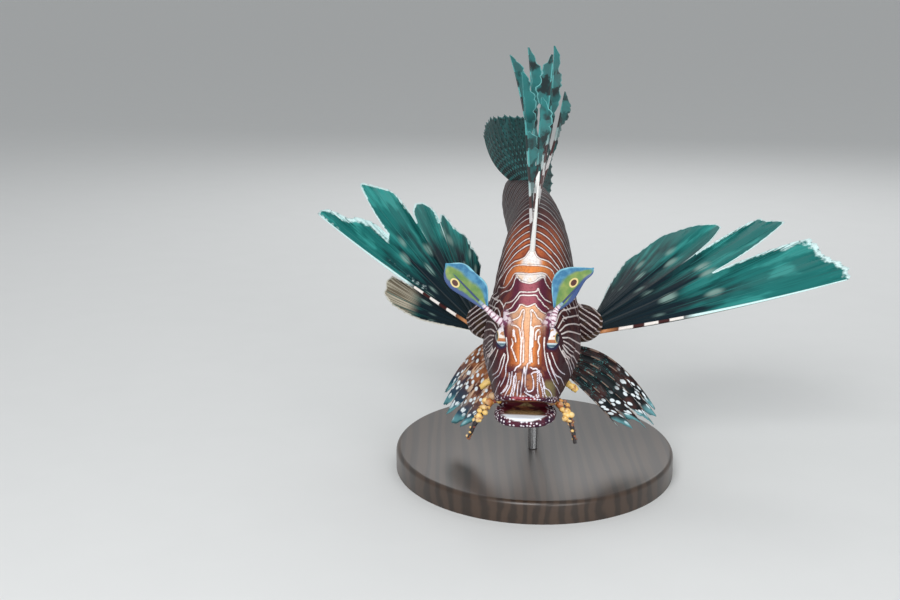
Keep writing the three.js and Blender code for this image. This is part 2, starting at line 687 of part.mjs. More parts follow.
function dorsalSpine(i) {
  const f = i / (SPINE_COUNT - 1);
  const station = THREE.MathUtils.lerp(...SPINE_STATIONS, f);
  const lean = THREE.MathUtils.lerp(...SPINE_LEAN, f) * RAD;
  const sideways = SPINE_SIDEWAYS[i] * RAD;
  const length = spineLength(i);
  const sink = 4;
  const up = point(Math.sin(sideways), Math.sin(lean) * Math.cos(sideways), Math.cos(lean) * Math.cos(sideways));
  const rear = point(0, Math.cos(lean), -Math.sin(lean));
  const turn = (i % 4 ? 1 : -1) * VANE_TURN_DEG * RAD;
  const trailing = rear.clone().multiplyScalar(Math.cos(turn)).addScaledVector(rear.clone().cross(up), Math.sin(turn));
  const foot = point(0, station, section(station).back - sink);
  const points = [];
  const thickness = [];
  for (const [row, share] of SPINE_ROWS.entries()) {
    const shaft = 2.3 * (1 - 0.72 * share);
    const vane = VANE_WIDTH * VANE_SHARE[row] * Math.sqrt(length / DORSAL_SPINE_LENGTH);
    const bow = 5 * share * share;
    const centre = foot.clone().addScaledVector(up, (length + sink) * share).addScaledVector(rear, bow);
    for (const [offset, thick] of [[-shaft / 2, 0.8], [0, 1], [shaft / 2, 0.55], [shaft / 2 + vane, 0]]) {
      points.push(centre.clone().addScaledVector(trailing, offset));
      thickness.push(Math.max(0.5, thick * shaft));
    }
  }
  const faces = [];
  for (let row = 0; row < SPINE_ROWS.length - 1; row += 1) {
    for (let c = 0; c < 3; c += 1) {
      const a = row * 4 + c;
      faces.push([a, a + 1, a + 5], [a, a + 5, a + 4]);
    }
  }
  return toSolid(plateGeometry(points, faces, thickness));
}

function dorsalSpines() {
  const [first, last] = SPINE_STATIONS;
  const crest = [];
  const sunk = [];
  const steps = 12;
  for (let i = 0; i <= steps; i += 1) {
    const s = THREE.MathUtils.lerp(first - 2, last + 1, i / steps);
    const height = i === 0 || i === steps ? 1 : WEB_HEIGHT + (i % 2 ? -1.5 : 1.5);
    crest.push([s + (i === 0 ? 0 : 3), section(s).back + height]);
    sunk.unshift([s, section(s).back - 3]);
  }
  const pieces = [sidePrism([...sunk, ...crest], -0.7, 0.7)];
  for (let i = 0; i < SPINE_COUNT; i += 1) {
    pieces.push(dorsalSpine(i));
  }
  return largest(union(pieces).subtract(bodyPart("torso", GAP)).subtract(bodyPart("tail", GAP)));
}

// Rear fins in the middle plane. Each is a fan of rays between two stations, leaning back from one angle to another.
const REAR_FINS = {
  soft_dorsal_fin: {
    count: 10, foot: [145, 186], edge: "back", lean: [36, 72], length: [42, 52, 54], sideways: [4, -34],
  },
  anal_fin: {
    count: 8, foot: [145, 182], edge: "belly", lean: [142, 108], length: [22, 48, 36], sideways: [0, 6],
  },
};
const CAUDAL_RAYS = 11;
const CAUDAL_LENGTH = 62;

function rearFin({ count, foot, edge, lean, length, sideways }, seed) {
  const random = seededRandom(seed);
  const rays = [];
  for (let i = 0; i < count; i += 1) {
    const f = i / (count - 1);
    const s = THREE.MathUtils.lerp(...foot, f);
    const angle = THREE.MathUtils.lerp(...lean, f) * RAD;
    const [start, longest, end] = length;
    const reach = f < 0.5 ? THREE.MathUtils.lerp(start, longest, 2 * f) : THREE.MathUtils.lerp(longest, end, 2 * f - 1);
    const z = edge === "back" ? section(s).back - 2.5 : section(s).belly + 2.5;
    const tilt = Math.sin(THREE.MathUtils.lerp(...sideways, f) * RAD) + 0.04 * (random() - 0.5);
    const along = point(tilt, Math.sin(angle), Math.cos(angle)).normalize().multiplyScalar(reach);
    rays.push({ base: point(0, s, z), along, curl: point(1.5 * (random() - 0.5), 2, 0) });
  }
  return rearPlate(rays);
}

function caudalFin() {
  const random = seededRandom(41);
  const rays = [];
  const { back, belly } = section(BODY_LENGTH);
  const middle = (back + belly) / 2;
  for (let i = 0; i < CAUDAL_RAYS; i += 1) {
    const f = (2 * i) / (CAUDAL_RAYS - 1) - 1;
    const length = CAUDAL_LENGTH * (1 - 0.14 * Math.abs(f) ** 2.5);
    const angle = 29 * f * RAD;
    const foot = point(0, BODY_LENGTH - 4, middle + f * 0.84 * (back - middle));
    const along = point(0.03 * (random() - 0.5), Math.cos(angle), Math.sin(angle)).multiplyScalar(length);
    rays.push({ base: foot, along, curl: point(1.2 * (random() - 0.5), 0, 0) });
  }
  return rearPlate(rays);
}

function rearPlate(rays) {
  const endOf = (share) => (share === 0 || share === 1 ? 1 : 0.97);
  const fin = finGeometry(rays, {
    rows: SHORT_ROWS, webRow: 2, columns: COLUMNS, isCut: () => true, vane: 0.9, endOf, rayThick: 1.3,
  });
  return largest(toSolid(fin).subtract(bodyPart("tail", GAP)));
}

// Finishes
function finish(color, roughness, metalness = 0) {
  return new THREE.MeshStandardMaterial({ color, roughness, metalness });
}

const SKIN = finish(0x8a4433, 0.5);
const EYE = finish(0xd8dce0, 0.15);
const SPOTTED = finish(0x2c6f86, 0.5);
const FLESHY = finish(0xd28a3a, 0.5);
const DARK_FIN = finish(0x143c44, 0.45);
const BROWN_FIN = finish(0x7a4a36, 0.5);
const SPINE = finish(0x9ab0ae, 0.4);
const WOOD = finish(0x3a2a20, 0.45);
const METAL = finish(0x9a9da0, 0.3, 0.9);

// The whole fish, its points bent to their place, inside one group that pitches and turns it.
const fish = new THREE.Group();
fish.rotation.order = "ZXY";
fish.rotation.x = PITCH_DEG * RAD;
fish.rotation.z = YAW_DEG * RAD;
fish.position.z = RIDE_HEIGHT;

const group = new THREE.Group();
group.add(fish);

function levelled(geometry) {
  geometry.translate(0, -BALANCE, 0);
  return geometry;
}

function bent(geometry) {
  const position = geometry.getAttribute("position");
  const p = new THREE.Vector3();
  for (let i = 0; i < position.count; i += 1) {
    p.copy(place(p.fromBufferAttribute(position, i)));
    position.setXYZ(i, p.x, p.y, p.z);
  }
  geometry.computeVertexNormals();
  return geometry;
}

// A fin of the sides stands off the straight front of the body, and doesn't follow the bend behind it.
function addToFish(name, solid, material, follows = true) {
  const mesh = new THREE.Mesh(follows ? bent(geometryOf(solid)) : levelled(geometryOf(solid)), material);
  mesh.name = name;
  fish.add(mesh);
}

function torsoSolid() {
  return largest(bodyPart("torso").subtract(coverRecess(-1)).subtract(coverRecess(1)));
}

addToFish("head", headSolid(), SKIN);
addToFish("lower_jaw", jawSolid(), SKIN);
addToFish("torso", torsoSolid(), SKIN);
addToFish("tail", bodyPart("tail"), SKIN);
for (const [side, word] of SIDE_NAMES) {
  addToFish(`gill_cover_${word}`, largest(coverSolid(side, 0)), SKIN);
  addToFish(`eye_${word}`, eyeBall(side), EYE);
  addToFish(`brow_tentacle_${word}`, browTentacle(side), SPOTTED);
  addToFish(`mouth_tentacle_${word}`, mouthTentacle(side), FLESHY);
  addToFish(`cheek_flap_${word}`, cheekFlap(side), FLESHY);
  addToFish(`pectoral_base_${word}`, largest(pectoralBase(side).subtract(besideFin(side))), SKIN);
  addToFish(`pectoral_fin_${word}`, pectoralFin(side), DARK_FIN, false);
  addToFish(`pelvic_fin_${word}`, pelvicFin(side), BROWN_FIN, false);
}
addToFish("dorsal_spines", dorsalSpines(), SPINE);
addToFish("soft_dorsal_fin", rearFin(REAR_FINS.soft_dorsal_fin, 51), DARK_FIN);
addToFish("anal_fin", rearFin(REAR_FINS.anal_fin, 67), DARK_FIN);
addToFish("caudal_fin", caudalFin(), DARK_FIN);

// Stand: an oval base with a rounded upper edge, and two upright rods cut to the belly
function standBase() {
  const outline = [new THREE.Vector2(0, 0), new THREE.Vector2(1 - 0.5 / BASE_HALF_X, 0)];
  for (let i = 0; i <= BASE_EDGE_STEPS; i += 1) {
    const angle = (i / BASE_EDGE_STEPS) * (Math.PI / 2);
    const inset = (BASE_EDGE / BASE_HALF_X) * (1 - Math.cos(angle));
    outline.push(new THREE.Vector2(1 - inset, BASE_HEIGHT - BASE_EDGE * (1 - Math.sin(angle))));
  }
  outline.push(new THREE.Vector2(0, BASE_HEIGHT));
  const geometry = new THREE.LatheGeometry(outline, 40);
  geometry.rotateX(Math.PI / 2);
  geometry.scale(BASE_HALF_X, BASE_HALF_Y, 1);
  return toSolid(geometry);
}

function standRod(station) {
  const centre = place(point(0, station, 0)).applyMatrix4(fish.matrixWorld);
  const foot = BASE_HEIGHT + GAP;
  const top = RIDE_HEIGHT;
  const geometry = new THREE.CylinderGeometry(ROD_RADIUS, ROD_RADIUS, top - foot, 12, 1);
  geometry.rotateX(Math.PI / 2);
  geometry.translate(centre.x, centre.y, (top + foot) / 2);
  const belly = toSolid(bent(geometryOf(bodyPart("torso", GAP))));
  return largest(toSolid(geometry).subtract(belly.transform(fish.matrixWorld.elements)));
}

function addToStand(name, solid, material) {
  const mesh = new THREE.Mesh(geometryOf(solid), material);
  mesh.name = name;
  group.add(mesh);
}

group.updateMatrixWorld(true);
addToStand("stand_base", standBase(), WOOD);
addToStand("stand_rod_front", standRod(ROD_STATIONS[0]), METAL);
addToStand("stand_rod_rear", standRod(ROD_STATIONS[1]), METAL);

export default group;
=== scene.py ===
"""The looks of a life-size red lionfish: striped skin, banded spines, leafy fins and tentacles, on its stand.

The fish is modelled straight, in millimetres: x to its left, s behind the snout, z towards the back. settle(
    
) then
bends and pitches each finished piece to its place, the same way as the solids.
"""

import math

import bpy
import numpy as np
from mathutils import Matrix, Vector, kdtree
from mathutils.bvhtree import BVHTree

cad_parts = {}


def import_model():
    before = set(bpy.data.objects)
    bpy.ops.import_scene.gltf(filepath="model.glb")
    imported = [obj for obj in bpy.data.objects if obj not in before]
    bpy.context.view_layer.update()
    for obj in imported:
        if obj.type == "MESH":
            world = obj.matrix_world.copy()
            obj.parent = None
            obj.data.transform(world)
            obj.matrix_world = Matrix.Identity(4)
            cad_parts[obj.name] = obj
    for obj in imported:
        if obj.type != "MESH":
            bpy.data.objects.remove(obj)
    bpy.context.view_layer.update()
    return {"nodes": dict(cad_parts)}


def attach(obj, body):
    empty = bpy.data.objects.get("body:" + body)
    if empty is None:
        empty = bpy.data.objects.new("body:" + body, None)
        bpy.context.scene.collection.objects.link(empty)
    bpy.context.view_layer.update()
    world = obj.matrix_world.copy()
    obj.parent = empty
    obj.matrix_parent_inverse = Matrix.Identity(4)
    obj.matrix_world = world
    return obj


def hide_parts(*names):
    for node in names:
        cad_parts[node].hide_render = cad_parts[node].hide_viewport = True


bl_info = {
    "name": "Red lionfish",
    "version": (1, 0, 0),
    "blender": (4, 5, 0),
    "location": "3D View > Sidebar > Lionfish",
    "description": "Builds a still, life-size model of a red lionfish around its frame",
    "category": "Object",
}

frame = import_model()

MM = 0.001
X, _, Z = np.eye(3)

# Pose and lengths, as in the solids
BODY_LENGTH = 225
BALANCE = 95
PITCH_DEG = 24
YAW_DEG = -7
RIDE_HEIGHT = 104
JAW_OPEN_DEG = 20
JAW_FORWARD = np.array([0, -2.5, -0.8])
DORSAL_SPINE_LENGTH = 88

# Sections of the body: station, back, belly, half width, height of the widest point,
# squareness of the upper half
SECTIONS = [
    [-2, 0.8, -7, 7.5, -3, 2.1], [0, 4.2, -11.5, 11, -4, 2.1], [3, 7, -15, 13.4, -5.5, 2.1],
    [8, 10.5, -18.5, 15.4, -7.5, 2.15], [14, 14.4, -21, 17, -8.5, 2.2], [21, 19.2, -23.4, 18.8, -9, 2.2],
    [28, 23.4, -25.3, 20.6, -9.5, 2.15], [
        36, 27.2, -27.2, 22.6, -10.5, 1.95
    ], [45, 31.6, -29, 24.4, -11.5, 1.72],
    [55, 37, -30.5, 25.4, -12, 1.55], [66, 41.8, -31.7, 25, -11, 1.58], [78, 45.3, -32.4, 23.8, -8.5, 1.7],
    [95, 47.4, -32.2, 22, -4, 1.82], [115, 46, -30.2, 19.2, 0, 1.82], [135, 41.6, -26.4, 16.2, 2.8, 1.85],
    [155, 35, -20, 12.8, 4.2, 1.9], [175, 27, -12.8, 9.4, 5, 1.95], [195, 19.6, -7.4, 6.6, 5, 2],
    [212, 16, -6.2, 4.8, 4.8, 2], [225, 15.6, -6.6, 3.6, 4.5, 2],
]
LOWER_SQUARENESS = 2.15

# Heading of the middle line: station, and degrees turned to the fish's right
HEADINGS = [
    [-10, 0], [40, 0], [80, 0], [100, 0], [112, 2.5], [145, 15], [162, 20.5], [178, 19.5],
    [195, 8], [210, -5], [225, -13], [250, -18], [320, -18],
]
DROOP = 20
DROOP_FROM = 100
MIDDLE_STEP = 2.5


def cubic_table(rows):
    """The smooth curve through a table whose first column is the station and whose others are its values."""
    table = np.array(rows, float)
    at, values = table[:, 0], table[:, 1:]

    def evaluate(where):
        t = np.clip(np.atleast_1d(np.asarray(where, float)), at[0], at[-1])
        right = np.clip(np.searchsorted(at, t, side="right"), 1, len(at) - 1)
        left = right - 1
        before = np.where(left > 0, left - 1, right)
        after = np.where(right < len(at) - 1, right + 1, left)
        half = (at[right] - at[left]) / 2
        pull_before = (half / (at[left] - at[before]))[:, None]
        pull_after = (half / (at[after] - at[right]))[:, None]
        p = ((t - at[left]) / (at[right] - at[left]))[:, None]
        result = values[before] * pull_before * (-(p**3) + 2 * p**2 - p)
        result += values[left] * (
            (1 + pull_before) * p**3 - (1.5 + 2 * pull_before) * p**2 + (pull_before - 0.5) * p + 1
        )
        result += values[right] * (-(1 + pull_after) * p**3 + (1.5 + pull_after) * p**2 + 0.5 * p)
        return result + values[after] * pull_after * (p**3 - p**2)

    return evaluate


profile = cubic_table(SECTIONS)
heading = cubic_table(HEADINGS)


def middle_line():
    """Points of the middle line, one each MIDDLE_STEP, seen from above."""
    start = HEADINGS[0][0]
    steps = int((HEADINGS[-1][0] - start) / MIDDLE_STEP)
    turn = np.radians(heading(start + (np.arange(steps) + 0.5) * MIDDLE_STEP)[:, 0])
    along = MIDDLE_STEP * np.stack([-np.sin(turn), np.cos(turn)], 1)
    return np.vstack([[0, start], [0, start] + np.cumsum(along, 0)])


MIDDLE_LINE = middle_line()


def bent(points):
    """Points of the straight fish, moved with the bend and droop of its rear."""
    x, s, z = points.T
    at = np.maximum(0, (s - HEADINGS[0][0]) / MIDDLE_STEP)
    index = np.minimum(len(MIDDLE_LINE) - 2, at.astype(int))
    share = (at - index)[:, None]
    middle = MIDDLE_LINE[index] * (1 - share) + MIDDLE_LINE[index + 1] * share
    turn = np.radians(heading(s)[:, 0])
    sunk = DROOP * (np.maximum(0, s - DROOP_FROM) / (BODY_LENGTH - DROOP_FROM)) ** 2
    return np.stack([middle[:, 0] + x * np.cos(turn), middle[:, 1] + x * np.sin(turn), z - sunk], 1)


def in_place(points, follows=True):
    """World places, in millimetres, of points of the straight fish."""
    p = bent(points) if follows else np.array(points, float)
    p = p - [0, BALANCE, 0]
    pitch, yaw = math.radians(PITCH_DEG), math.radians(YAW_DEG)
    y = p[:, 1] * math.cos(pitch) - p[:, 2] * math.sin(pitch)
    z = p[:, 1] * math.sin(pitch) + p[:, 2] * math.cos(pitch)
    return np.stack(
        [
            p[:, 0] * math.cos(yaw) - y * math.sin(yaw), p[:, 0] * math.sin(yaw) + y * math.cos(yaw),
            z + RIDE_HEIGHT,
        ],
        1,
    )


def skin_points(s, angle):
    """Points of the skin at stations and angles round the body, where 90 degrees is the back."""
    back, belly, half, wide, square = profile(s).T
    c, n = np.cos(angle), np.sin(angle)
    power = 2 / np.where(n > 0, square, LOWER_SQUARENESS)
    rise = np.where(n > 0, back - wide, wide - belly)
    x = half * np.sign(c) * np.abs(c) ** power
    return np.stack([x, s, wide + rise * np.sign(n) * np.abs(n) ** power], 1)


def half_width(s, z):
    """Half the width of the body at a station and a height."""
    back, belly, half, wide, square = profile(s)[0]
    share = min(1, abs(z - wide) / ((back - wide) if z > wide else (wide - belly)))
    power = square if z > wide else LOWER_SQUARENESS
    return half * (1 - share**power) ** (1 / power)


def back_height(s):
    return float(profile(s)[0, 0])


def smooth_step(low, high, value):
    t = np.clip((value - low) / (high - low), 0, 1)
    return t * t * (3 - 2 * t)


def ripple(p, size, seed=0):
    """A soft wobble between about -1 and 1 over points in millimetres, of about the given size."""
    total = np.zeros(len(p))
    for i in range(5):
        a, b = 2.4 * i + seed, 1.7 * i + 0.6 * seed
        way = np.array([math.cos(a) * math.sin(b + 1), math.sin(a), math.cos(b)])
        total += np.sin(p @ way * (6.28 / size) * (0.7 + 0.2 * i) + 1.9 * i + seed)
    return total / 3


# Meshes


def select_only(*pieces):
    bpy.ops.object.select_all(action="DESELECT")
    for piece in pieces:
        piece.select_set(True)
    bpy.context.view_layer.objects.active = pieces[0]


def places(piece):
    co = np.empty(len(piece.data.vertices) * 3)
    piece.data.vertices.foreach_get("co", co)
    return co.reshape(-1, 3)


def normals(piece):
    n = np.empty(len(piece.data.vertices) * 3)
    piece.data.vertices.foreach_get("normal", n)
    return n.reshape(-1, 3)


def put(piece, points):
    piece.data.vertices.foreach_set("co", np.ascontiguousarray(points, float).ravel())
    piece.data.update()


def record(piece, **values):
    """Stores numbers on the points of a piece, for its material to read."""
    for name, value in values.items():
        layer = piece.data.attributes.get(name) or piece.data.attributes.new(name, "FLOAT", "POINT")
        layer.data.foreach_set("value", np.broadcast_to(value, len(piece.data.vertices)).astype(np.float32))


def sheet(name, across, along):
    """A grid primitive, with each point's share of the way across and along it."""
    bpy.ops.object.select_all(action="DESELECT")
    bpy.ops.mesh.primitive_grid_add(x_subdivisions=across, y_subdivisions=along, size=2)
    piece = bpy.context.object
    piece.name = piece.data.name = name
    co = places(piece)
    return piece, (co[:, 0] + 1) / 2, (co[:, 1] + 1) / 2


def sew(piece, fill=True):
    """Merges the seam of a rolled sheet, fills its ends and turns its faces outward."""
    select_only(piece)
    bpy.ops.object.mode_set(mode="EDIT")
    bpy.ops.mesh.select_all(action="SELECT")
    bpy.ops.mesh.remove_doubles(threshold=1e-5)
    if fill:
        bpy.ops.mesh.fill_holes(sides=0)
    bpy.ops.mesh.normals_make_consistent(inside=False)
    bpy.ops.object.mode_set(mode="OBJECT")


def joined(pieces, name):
    select_only(*pieces)
    if len(pieces) > 1:
        bpy.ops.object.join()
    piece = bpy.context.object
    piece.name = piece.data.name = name
    return piece


def shaped(piece, kind, **settings):
    """Adds a modifier and applies it."""
    select_only(piece)
    modifier = piece.modifiers.new(kind.title(), kind)
    for key, value in settings.items():
        setattr(modifier, key, value)
    bpy.ops.object.modifier_apply(modifier=modifier.name)


def smooth_curve(points, steps):
    """Evenly spaced points of a smooth curve through a few points."""
    p = np.array(points, float)
    p = np.vstack([2 * p[:1] - p[1:2], p, 2 * p[-1:] - p[-2:-1]])
    t = np.linspace(0, 1, 17)[:-1, None]
    bits = []
    for a, b, c, d in zip(p, p[1:], p[2:], p[3:]):
        bits.append(
            0.5 * (2 * b + (c - a) * t + (2 * a - 5 * b + 4 * c - d) * t**2 + (3 * b - a - 3 * c + d) * t**3)
        )
    line = np.vstack([*bits, p[-2:-1]])
    run = np.r_[0, np.cumsum(np.linalg.norm(np.diff(line, axis=0), axis=1))]
    even = np.linspace(0, run[-1], steps + 1)
    return np.stack([np.interp(even, run, line[:, k]) for k in range(line.shape[1])], 1)


def frames_along(line):
    """Directions along a line, and two more square to it that don't twist."""
    tangent = np.gradient(line, axis=0)
    tangent /= np.linalg.norm(tangent, axis=1)[:, None]
    side = np.cross(tangent[0], Z if abs(tangent[0] @ Z) < 0.9 else X)
    sides = []
    for t in tangent:
        side = side - t * (side @ t)
        side = side / np.linalg.norm(side)
        sides.append(side)
    sides = np.array(sides)
    return tangent, sides, np.cross(tangent, sides)


def tube(name, points, radius, around=10, steps=24, flat=1.0):
    """A closed tube along a smooth curve. radius is a function of the share of the length."""
    line = smooth_curve(points, steps)
    _, side, other = frames_along(line)
    piece, u, v = sheet(name, around, steps)
    row = np.rint(v * steps).astype(int)
    angle = 2 * math.pi * u
    reach = np.array([radius(f) for f in np.linspace(0, 1, steps + 1)])[row]
    where = line[row] + side[row] * (reach * np.cos(angle))[:, None]
    put(piece, where + other[row] * (flat * reach * np.sin(angle))[:, None])
    record(piece, out=v)
    sew(piece)
    return piece


def ball(name, centre, radii, around=32, down=20):
    bpy.ops.object.select_all(action="DESELECT")
    bpy.ops.mesh.primitive_uv_sphere_add(segments=around, ring_count=down, radius=1)
    piece = bpy.context.object
    piece.name = piece.data.name = name
    put(piece, places(piece) * radii + centre)
    return piece


def settle(piece, material, slot, *stands_for, follows=True):
    """Moves a finished piece of the straight fish to its place, in metres, and hands it to the frame."""
    put(piece, in_place(places(piece), follows) * MM)
    hand_over(piece, material, slot, *stands_for)


def hand_over(piece, material, slot, *stands_for, smooth=True):
    piece.data.materials.clear()
    piece.data.materials.append(material)
    select_only(piece)
    if smooth:
        bpy.ops.object.shade_smooth()
    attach(piece, "root")
    if stands_for:
        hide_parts(*stands_for)


def seeded(seed):
    """The same run of numbers between 0 and 1 as the solids use."""
    state = seed
    while True:
        state = (state * 1664525 + 1013904223) % 4294967296
        yield state / 4294967296


def unit(vector):
    vector = np.array(vector, float)
    return vector / np.linalg.norm(vector)


SIDES = {"left": 1, "right": -1}


def mirrored(p, side):
    return np.array([side * p[0], p[1], p[2]], float)


# Materials


class Finish:
    """A material, with short ways to add the nodes that the finishes share."""

    def __init__(self, name, **values):
        self.material = bpy.data.materials.new(name)
        self.material.use_nodes = True
        self.tree = self.material.node_tree
        self.shader = self.tree.nodes["Principled BSDF"]
        for key, value in values.items():
            self.shader.inputs[key.replace("_", " ")].default_value = value

    def link(self, source, target):
        """Sets an input to a number or a colour, or links it to a socket or to a named attribute."""
        if isinstance(source, str):
            source = self.value(source)
        if isinstance(source, bpy.types.NodeSocket):
            self.tree.links.new(source, target)
        elif isinstance(source, (int, float)):
            target.default_value = source
        else:
            target.default_value = (*source, 1.0)

    def to(self, socket, source):
        self.link(source, self.shader.inputs[socket])

    def value(self, name):
        node = self.tree.nodes.new("ShaderNodeAttribute")
        node.attribute_name = name
        return node.outputs["Fac"]

    def math(self, operation, *sources):
        node = self.tree.nodes.new("ShaderNodeMath")
        node.operation = operation
        for source, target in zip(sources, node.inputs):
            self.link(source, target)
        return node.outputs[0]

    def times(self, *sources):
        return self.math("MULTIPLY", *sources)

    def plus(self, *sources):
        return self.math("ADD", *sources)

    def centred(self, noise, reach):
        """Noise moved to about 0, and as strong as its reach."""
        return self.times(self.math("SUBTRACT", noise, 0.5), reach)

    def wave(self, source, rate):
        return self.math("SINE", self.times(source, rate))

    def between(self, source, low, high, start=0.0, end=1.0):
        """Goes smoothly from start to end as source goes from low to high."""
        node = self.tree.nodes.new("ShaderNodeMapRange")
        node.interpolation_type = "SMOOTHSTEP"
        for key, number in {
            "Value": source, "From Min": low, "From Max": high, "To Min": start, "To Max": end
        }.items():
            self.link(number, node.inputs[key])
        return node.outputs[0]

    def mix(self, share, first, second, blend="MIX"):
        node = self.tree.nodes.new("ShaderNodeMix")
        node.data_type = "RGBA"
        node.blend_type = blend
        self.link(share, node.inputs[0])
        self.link(first, node.inputs[6])
        self.link(second, node.inputs[7])
        return node.outputs[2]

    def place(self):
        return self.tree.nodes.new("ShaderNodeTexCoord").outputs["Object"]

    def noise(self, scale, detail=3.0, roughness=0.55):
        node = self.tree.nodes.new("ShaderNodeTexNoise")
        self.link(self.place(), node.inputs["Vector"])
        node.inputs["Scale"].default_value = scale
        node.inputs["Detail"].default_value = detail
        node.inputs["Roughness"].default_value = roughness
        return node.outputs["Fac"]

    def scattered(self, scale, jitter):
        """Distance to the nearest of points scattered through space."""
        node = self.tree.nodes.new("ShaderNodeTexVoronoi")
        self.link(self.place(), node.inputs["Vector"])
        node.inputs["Scale"].default_value = scale
        node.inputs["Randomness"].default_value = jitter
        return node.outputs["Distance"]

    def streaks(self, x, y, detail=3.0):
        """Noise over two numbers of the surface, instead of over its place."""
        node = self.tree.nodes.new("ShaderNodeTexNoise")
        node.noise_dimensions = "2D"
        self.link(self.combine(x, y), node.inputs["Vector"])
        node.inputs["Scale"].default_value = 1
        node.inputs["Detail"].default_value = detail
        return node.outputs["Fac"]

    def combine(self, x, y, z=0.0):
        node = self.tree.nodes.new("ShaderNodeCombineXYZ")
        for source, target in zip((x, y, z), node.inputs):
            self.link(source, target)
        return node.outputs[0]

    def dots(self, x, y, jitter=0.6):
        """Distance to the nearest of scattered dots, one in each unit square of x and y."""
        node = self.tree.nodes.new("ShaderNodeTexVoronoi")
        node.voronoi_dimensions = "2D"
        self.link(self.combine(x, y), node.inputs["Vector"])
        node.inputs["Scale"].default_value = 1
        node.inputs["Randomness"].default_value = jitter
        return node.outputs["Distance"]

    def bump(self, height, depth, strength=1.0):
        node = self.tree.nodes.new("ShaderNodeBump")
        node.inputs["Strength"].default_value = strength
        node.inputs["Distance"].default_value = depth
        self.link(height, node.inputs["Height"])
        self.to("Normal", node.outputs[0])


def colour_setting(name, description, default):
    return bpy.props.FloatVectorProperty(
        name=name, description=description, default=default, size=3, subtype="COLOR", min=0, max=1
    )


class SkinSettings(bpy.types.PropertyGroup):
    cell: bpy.props.FloatProperty(
        name="Skin cell", description="Size of the skin's faces, in millimetres", default=0.715, min=0.5,
        max=2,
    )
    line: bpy.props.FloatProperty(
        name="Line half width", description="Half the width of a pale line, in millimetres", default=0.40,
        min=0.2, max=1,
    )
    pale: colour_setting("Lines", "Thin pale lines of the head and body", (0.92, 0.86, 0.84))
    band: colour_setting("Bands", "Broad dark bands of the body", (0.085, 0.014, 0.022))
    second: colour_setting("Second bands", "Paler bands between the dark ones", (0.19, 0.042, 0.032))
    # The forehead's orange and cream are partly the skin's own colour and partly a painted highlight
    forehead: colour_setting("Forehead", "Orange of the forehead", (0.80, 0.27, 0.075))
    cream: colour_setting("Forehead middle", "Cream down the middle of the forehead", (0.90, 0.64, 0.44))
    nape: colour_setting("Nape", "Orange-brown of the nape", (0.50, 0.13, 0.045))
    # Painted shade: the rear body is painted this near black, as if in shadow away from the front light
    rear: colour_setting("Rear", "Dark of the rear body and flanks", (0.010, 0.012, 0.016))


class FinSettings(bpy.types.PropertyGroup):
    # Painted light: the membranes' near black root and teal outer part stand for greenish light shining
    # through them, weak near the root
    deep: colour_setting(
        "Fin root", "Nearly black blue of the membranes near their root", (0.004, 0.014, 0.022)
    )
    teal: colour_setting("Fin", "Teal of the outer membranes", (0.012, 0.16, 0.15))
    rim: colour_setting("Rim", "Pale rim of the membranes", (0.70, 0.90, 0.90))
    pelvic: colour_setting("Pelvic fin", "Orange-brown of the pelvic fins", (0.32, 0.115, 0.045))
    flap: colour_setting("Flaps", "Orange of the tentacles at the mouth", (0.66, 0.29, 0.05))


class StandSettings(bpy.types.PropertyGroup):
    wood: colour_setting("Wood", "Dark stained wood of the base", (0.055, 0.032, 0.02))
    edge: bpy.props.FloatProperty(
        name="Edge", description="Rounding of the base's upper edge, in millimetres", default=2.5, min=0.5,
        max=5,
    )


class StudioSettings(bpy.types.PropertyGroup):
    floor: colour_setting("Floor", "Pale studio floor", (0.76, 0.77, 0.77))
    key: bpy.props.FloatProperty(
        name="Key light", description="Power of the large light, in watts", default=9, min=0, max=200
    )
    lens: bpy.props.FloatProperty(
        name="Lens", description="Focal length of the camera, in millimetres", default=56, min=10, max=200
    )


def settings(name):
    return getattr(bpy.context.scene, name)


# The one skin

EYE_RADIUS = 6.4
EYE_CENTRE = np.array([9.7, 28, 16.4])
EYE_GAZE = unit([0.93, -0.27, 0.22])
MOUTH_FRONT = np.array([-6, 1.6])
MOUTH_CORNER = np.array([14, -15])
JAW_REAR = np.array([25, -42])
UPPER_LIP = {"offset": 0.9, "radius": 1.5}
LOWER_LIP = {"offset": -1.5, "radius": 2.1}
LIP_FRONT = -2.6
LIP_SUNK = 0.2
BROW_PATH = [[7.8, 18, 15], [9.2, 22, 20], [9.9, 28, 23.2], [10.8, 36, 24.8], [12.5, 44, 23.5]]
CHEEK_PATH = [[15.5, 20, 5], [19.3, 29, 2], [21.8, 38, -1], [23.6, 46, -3]]
STALK_FOOT = [[10.8, 30, 23.4], [12, 32.5, 24.5], [13.2, 35, 25]]
# Place and depth of each nostril of one side
NOSTRILS = [([6.6, 13.5, 13.6], 1.5), ([7.0, 10.5, 11.9], 0.9)]
PECTORAL_BASE = np.array([25, 78, -12.5])
PECTORAL_BASE_RADII = np.array([12.5, 9, 11.5])
GILL_COVER = [[45, 12], [55, 17], [66, 14], [75, 6], [77, -1], [73, -10], [64, -18], [53, -24], [46, -22]]

